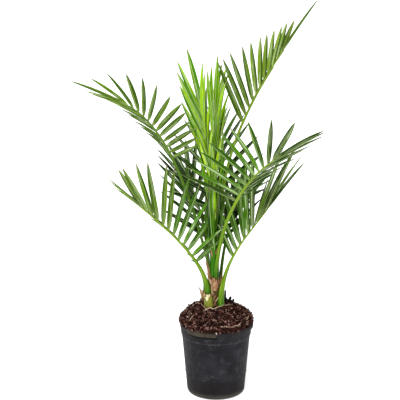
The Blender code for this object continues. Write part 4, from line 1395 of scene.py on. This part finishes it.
def leaf_finish(name, deep, fresh, bright, under, rib, rim, painted_glint):
    """Leathery leaflet: parallel veins and a pale midrib, with painted shade on one half of the
    fold and beside the midrib, and a painted highlight along the rim.

    The last argument is how much of the painted highlight streaks lies on the unshaded half.
    """
    leaf = Finish(name, 0.5, 0.05)
    uv = leaf.node("ShaderNodeUVMap", {"uv_map": "blade"})
    u, v = leaf.axis("X", uv), leaf.axis("Y", uv)
    tone = leaf.trait("tone")
    below = v > 1.5
    along = v - below * 2
    from_rib = abs(u - 0.5) * 2
    vein = leaf.noise(1.0, 2.0, 0.6, leaf.joined(u * 34, along * 1.6, tone * 40))
    # Noise for the painted highlight: pale glint streaks along each leaflet.
    glint_streaks = leaf.noise(1.0, 2.0, 0.5, leaf.joined(u * 4, along * 2.4, tone * 90))
    cloud = leaf.noise(30.0, 3.0, 0.6)
    chance = leaf.math("FRACT", tone * 37)
    # Painted shade: one half of each leaflet, picked at random, is darkened as the shaded side of
    # its fold.
    deeper = abs((u > 0.5) - (chance > 0.5))
    streak = leaf.step(from_rib, 0.18, 0.30) * leaf.step(from_rib, 0.66, 0.48)
    leaf.coat(leaf.ramp(tone * 0.7 + leaf.step(cloud, 0.3, 0.7) * 0.3,
                        (0.10, deep), (0.5, fresh), (0.9, bright)))
    leaf.coat(bright, leaf.step(vein, 0.4, 0.75) * 0.40)
    # Painted shade on the half picked above.
    leaf.coat(deep, deeper * 0.90)
    leaf.coat(deep, leaf.step(vein, 0.5, 0.25) * 0.50)
    # Painted highlight: pale glint streaks, mostly on the unshaded half, standing in for light
    # caught by the leaflet.
    leaf.coat((0.56, 0.66, 0.42), leaf.step(glint_streaks, 0.48, 0.58) * streak * (1 - deeper * 0.7) * painted_glint)
    leaf.coat(rib, leaf.step(along, 0.22, 0.0) * 0.45)
    leaf.coat(under, below * 0.25)
    # Painted shade: darker in the crease beside the midrib.
    leaf.coat(deep, leaf.step(from_rib, 0.42, 0.16) * 0.55)
    leaf.coat(rib, leaf.step(from_rib, 0.12, 0.04) * 0.80)
    # Painted highlight: a paler band along the margins, as light catching the leaflet's edges.
    leaf.coat(rim, leaf.step(from_rib, 0.88, 0.97) * 0.50)
    leaf.coat((0.26, 0.20, 0.12),
              leaf.step(along, 0.90, 0.99) * leaf.step(chance, 0.10, 0.50) * 0.8)
    leaf.shows("Roughness", 0.44 + below * 0.2 + vein * 0.12)
    leaf.bump(vein * 0.6 + leaf.step(from_rib, 0.12, 0.0) * 1.4, 0.5, 0.0004)
    return leaf


def stalk_finish(name, foot, low, high, light):
    """Smooth waxy petiole with fine lengthwise streaks, deeper green where it clasps."""
    stalk = Finish(name, 0.5, 0.08)
    uv = stalk.node("ShaderNodeUVMap", {"uv_map": "blade"})
    u, v = stalk.axis("X", uv), stalk.axis("Y", uv)
    lines = stalk.noise(1.0, 3.0, 0.5, stalk.joined(u * 26, v * 7))
    stripe = stalk.noise(1.0, 2.0, 0.5, stalk.joined(u * 7, v * 2))
    patch = stalk.noise(45.0, 3.0, 0.6)
    stalk.coat(stalk.ramp(v + (patch - 0.5) * 0.12,
                          (0.0, foot), (0.06, foot), (0.24, low), (0.75, high)))
    stalk.coat(light, stalk.step(lines, 0.45, 0.75) * 0.5)
    stalk.coat(foot, stalk.step(stripe, 0.50, 0.62) * 0.65)
    # Painted shade: a darker band along the top channel of the petiole.
    stalk.coat(foot, stalk.step(abs(u - 0.25), 0.12, 0.03) * 0.35)
    stalk.shows("Roughness", 0.36 + lines * 0.15)
    stalk.bump(lines, 0.35, 0.0004)
    return stalk


# Colours of the leaflets, as leaf_finish takes them.
LEAF_COLOURS = {
    "green": ((0.004, 0.020, 0.001), (0.036, 0.110, 0.005), (0.165, 0.275, 0.026),
              (0.060, 0.120, 0.010), (0.44, 0.56, 0.20), (0.20, 0.30, 0.08), 1.10),
    "inner": ((0.004, 0.032, 0.001), (0.052, 0.185, 0.002), (0.185, 0.390, 0.012),
              (0.080, 0.200, 0.006), (0.44, 0.64, 0.20), (0.19, 0.33, 0.06), 1.0),
    # Painted light: olive is the yellower, lit copy of the green for the lit outer fronds.
    "olive": ((0.012, 0.050, 0.001), (0.095, 0.215, 0.005), (0.285, 0.420, 0.034),
              (0.120, 0.215, 0.015), (0.44, 0.56, 0.15), (0.26, 0.38, 0.08), 0.80),
    "young": ((0.034, 0.175, 0.0003), (0.310, 0.600, 0.001), (0.540, 0.780, 0.020),
              (0.310, 0.560, 0.004), (0.80, 0.90, 0.40), (0.62, 0.80, 0.20), 0.80),
    # Painted shade: dark is a darker copy of the green for the back fronds in the crown's shade.
    "dark": ((0.003, 0.019, 0.001), (0.022, 0.084, 0.004), (0.090, 0.195, 0.018),
             (0.040, 0.105, 0.010), (0.28, 0.40, 0.16), (0.16, 0.25, 0.08), 0.85),
}
STALK_COLOURS = {
    "green": ((0.026, 0.125, 0.002), (0.120, 0.235, 0.006), (0.170, 0.270, 0.018),
              (0.400, 0.500, 0.070)),
    "young": ((0.008, 0.090, 0.001), (0.028, 0.150, 0.002), (0.150, 0.380, 0.005),
              (0.240, 0.480, 0.020)),
    # Painted shade: a darker petiole copy for the back fronds and the darker upper left frond.
    "dark": ((0.030, 0.100, 0.003), (0.060, 0.140, 0.006), (0.080, 0.160, 0.012),
             (0.170, 0.260, 0.050)),
}
LEAF_FINISHES = {look: leaf_finish("leaflet_" + look, *colours)
                 for look, colours in LEAF_COLOURS.items()}
STALK_FINISHES = {look: stalk_finish("petiole_" + look, *colours)
                  for look, colours in STALK_COLOURS.items()}
# Painted light: the lit outer fronds take a yellower copy of the green than the shaded ones.
LIT_FRONDS = ("frond_upper_right", "frond_upper_left", "frond_lower_left")
# The leaflets that reach in over the column are a deeper green.
INNER_FRONDS = ("frond_lower_left", "frond_front_right", "frond_lower_right")
INNER_REACH = 0.062
# How far the leaflets of a rolled frond's lower rank turn to stand on edge, in degrees.
LOWER_TURNS = {"frond_upper_right": 12, "frond_upper_left": 0, "frond_lower_left": -12,
               "frond_lower_right": -24, "frond_front_right": 35}
LOWER_BREADTH = 0.85
LOWER_OPENNESS = 0.60
BREADTHS = {"frond_upper_right": 0.95, "frond_upper_left": 0.97}
# Painted light and shade: one frond's leaflets are darker and one's paler than their kind, for how
# each faces the light, and the darker one takes the dark petiole.
PAINTED_LIGHT_SHIFTS = {"frond_upper_left": -0.24, "frond_upper_right": 0.16}
STALK_LOOKS = {"frond_upper_left": "dark"}
# Leaflets are paler towards a grown frond's tip, deeper towards a young one's, and each differs.
TONE_BASES = {"green": 0.05, "young": 0.46, "dark": 0.05}
TONE_GROWTHS = {"green": 0.45, "young": -0.20, "dark": 0.45}
TONE_SCATTER = 0.45


def leaflet_pieces(name, groups):
    """One piece of leaflets for each look, smooth but for the creases of their midribs."""
    made = []
    for look, (bodies, tones) in groups.items():
        piece = grown_mesh(f"{name}_{look}", bodies, blade_faces, blade_uv, tones)
        piece.data.set_sharp_from_angle(angle=math.radians(BLADE_CREASE))
        LEAF_FINISHES[look].on(piece)
        made.append(piece)
    return made


for name, frond in FRONDS.items():
    rule = random.Random("finer " + name)
    kind = frond.green
    tone_base = TONE_BASES[kind] + PAINTED_LIGHT_SHIFTS.get(name, 0.0)
    groups = {}
    for matrix, _, share, lower in grown[name]:
        shape = [0.0, BREADTHS.get(name, 1.0), 1.0]
        if lower and name in LOWER_TURNS:
            shape = [math.radians(LOWER_TURNS[name]), shape[1] * LOWER_BREADTH, LOWER_OPENNESS]
        local = blade_arrays(rule, matrix.to_scale().x, *shape)
        tip = matrix @ Vector((1, 0, 0))
        look = "olive" if name in LIT_FRONDS else kind
        if name in INNER_FRONDS and abs(tip.x - STEM_X) < INNER_REACH:
            look = "inner"
        bodies, tones = groups.setdefault(look, ([], []))
        bodies.append(carried(local, matrix))
        tones.append(tone_base + TONE_GROWTHS[kind] * share + TONE_SCATTER * rule.random())
    blades = leaflet_pieces(name + "_leaflets", groups)
    stalk = grown_mesh(name + "_stalk", [stalk_arrays(frond)], stalk_faces, stalk_uv,
                       [rule.random()])
    STALK_FINISHES[STALK_LOOKS.get(name, kind)].on(stalk)
    for piece in (*blades, stalk):
        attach(piece, "root")
        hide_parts(name)


# Green sheath and folded leaflets.
# The bases of the youngest leaves, wrapped round each other in one smooth green column.
# Their lowest leaflets are still soft and lie folded upright against it.

COLUMN = ((0.0076, 0.2380), (0.0086, 0.2440), (0.0086, 0.2560), (0.0082, 0.2740),
          (0.0078, 0.2940), (0.0074, 0.3140), (0.0068, 0.3340), (0.0060, 0.3540),
          (0.0050, 0.3740), (0.0038, 0.3900))
COLUMN_FOOT = 0.2380
COLUMN_SIDES = 48
COLUMN_LEAN = 0.0035
COLUMN_TWIST = 9
FOLDED = 22
FOLDED_LOW = 0.276
FOLDED_RISE = 0.167
FOLDED_DEEP = 0.3
FOLDED_LENGTHS = (0.105, 0.140)
GOLDEN_TURN = 137.5


def column_middle(height):
    return STEM_X - COLUMN_LEAN * fade(height, 0.24, 0.34)


column = turned_shell("green_leaf_sheath", [(0.002, COLUMN_FOOT), *COLUMN,
                                            (0.001, COLUMN[-1][1] + 0.001)], COLUMN_SIDES)
for vertex in column.data.vertices:
    x, y, height = vertex.co
    turn = math.atan2(y, x)
    twist = (height - COLUMN_FOOT) * COLUMN_TWIST
    lap = 1 + 0.07 * math.cos(3 * turn + 0.8 + twist) + 0.03 * math.cos(8 * turn - twist)
    vertex.co = (x * lap + column_middle(height), y * lap, height)
smoothed(column, 60)
wrapped = Finish("green_leaf_sheath", 0.42, 0.08)
lines = wrapped.noise((480.0, 480.0, 16.0), 3.0, 0.6)
wrapped.coat(wrapped.ramp((wrapped.axis("Z") - COLUMN_FOOT) * 7, (0.0, (0.010, 0.080, 0.001)),
                          (0.35, (0.022, 0.125, 0.002)), (1.0, (0.085, 0.260, 0.004))))
wrapped.coat((0.006, 0.040, 0.001), wrapped.step(lines, 0.46, 0.30) * 0.7)
wrapped.coat((0.210, 0.420, 0.014), wrapped.step(lines, 0.56, 0.74) * 0.6)
wrapped.bump(lines, 0.5, 0.0006)
wrapped.on(column)

rule = random.Random(41)
groups = {"inner": ([], []), "young": ([], [])}
for number in range(FOLDED):
    share = number / (FOLDED - 1)
    out = heading(GOLDEN_TURN * number + rule.uniform(-14, 14))
    across = Vector((-out.y, out.x, 0))
    height = FOLDED_LOW + FOLDED_RISE * share
    place = Vector((column_middle(height), 0, height)) + out * (0.0074 - 0.0030 * share)
    point = swung(UP, out, math.radians(rule.uniform(3, 7) + 3 * share))
    point = (point + across * math.sin(math.radians(rule.uniform(-5, 5)))).normalized()
    length = rule.uniform(*FOLDED_LENGTHS)
    matrix = placed(place, point, out if number % 3 else -out, length)
    # Painted shade: the lower folded leaflets take the deeper inner green and lower tones, for the
    # shade low in the crown.
    bodies, tones = groups["inner" if share < FOLDED_DEEP else "young"]
    bodies.append(carried(blade_arrays(rule, length), matrix))
    tones.append(0.16 + rule.random() * 0.5 * share + 0.38 * share)
for piece in (column, *leaflet_pieces("folded_leaflets", groups)):
    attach(piece, "root")


# Studio.
# A pale floor under soft light from above, the front and the left, as for a catalogue picture.
# The camera looks a little down on the palm from the front.

bpy.ops.object.select_all(action="DESELECT")
bpy.ops.mesh.primitive_plane_add(size=40, location=(0, 0, -0.0005))
floor = named(bpy.context.object, "studio_floor")
paper = Finish("floor_paper", 0.9)
paper.coat((0.94, 0.94, 0.94))
paper.coat((0.97, 0.97, 0.97), paper.noise(3.0))
paper.shows("Emission Color", (1.0, 1.0, 1.0))
paper.shows("Emission Strength", 0.64)
paper.on(floor)

CAMERA_PLACE = (-0.032, -2.5, 1.12)
CAMERA_PITCH = 73.9
CAMERA_LENS = 120.33
CAMERA_SENSOR = 36
camera_data = bpy.data.cameras.new("camera")
camera_data.lens = CAMERA_LENS
camera_data.sensor_width = CAMERA_SENSOR
camera = linked("camera", camera_data)
camera.location = CAMERA_PLACE
camera.rotation_euler = (math.radians(CAMERA_PITCH), 0, 0)
bpy.context.scene.camera = camera

# Suns: place that each shines from, width in degrees and strength.
SUNS = {"key_light": ((-0.55, -1.0, 1.5), 34, 3.2), "fill_light": ((1.3, -0.9, 0.7), 60, 0.35),
        "back_light": ((0.5, 1.5, 1.2), 30, 0.5)}
SKY_STRENGTH = 0.27
for name, (place, width, strength) in SUNS.items():
    lamp_data = bpy.data.lights.new(name, "SUN")
    lamp_data.angle = math.radians(width)
    lamp_data.energy = strength
    lamp = linked(name, lamp_data)
    lamp.location = place
    lamp.rotation_euler = (-Vector(place)).to_track_quat("-Z", "Y").to_euler()
world = bpy.data.worlds.new("studio")
world.use_nodes = True
sky = world.node_tree.nodes["Background"]
sky.inputs["Color"].default_value = (1.0, 1.0, 1.0, 1.0)
sky.inputs["Strength"].default_value = SKY_STRENGTH
bpy.context.scene.world = world
bpy.context.scene.view_settings.view_transform = "Standard"
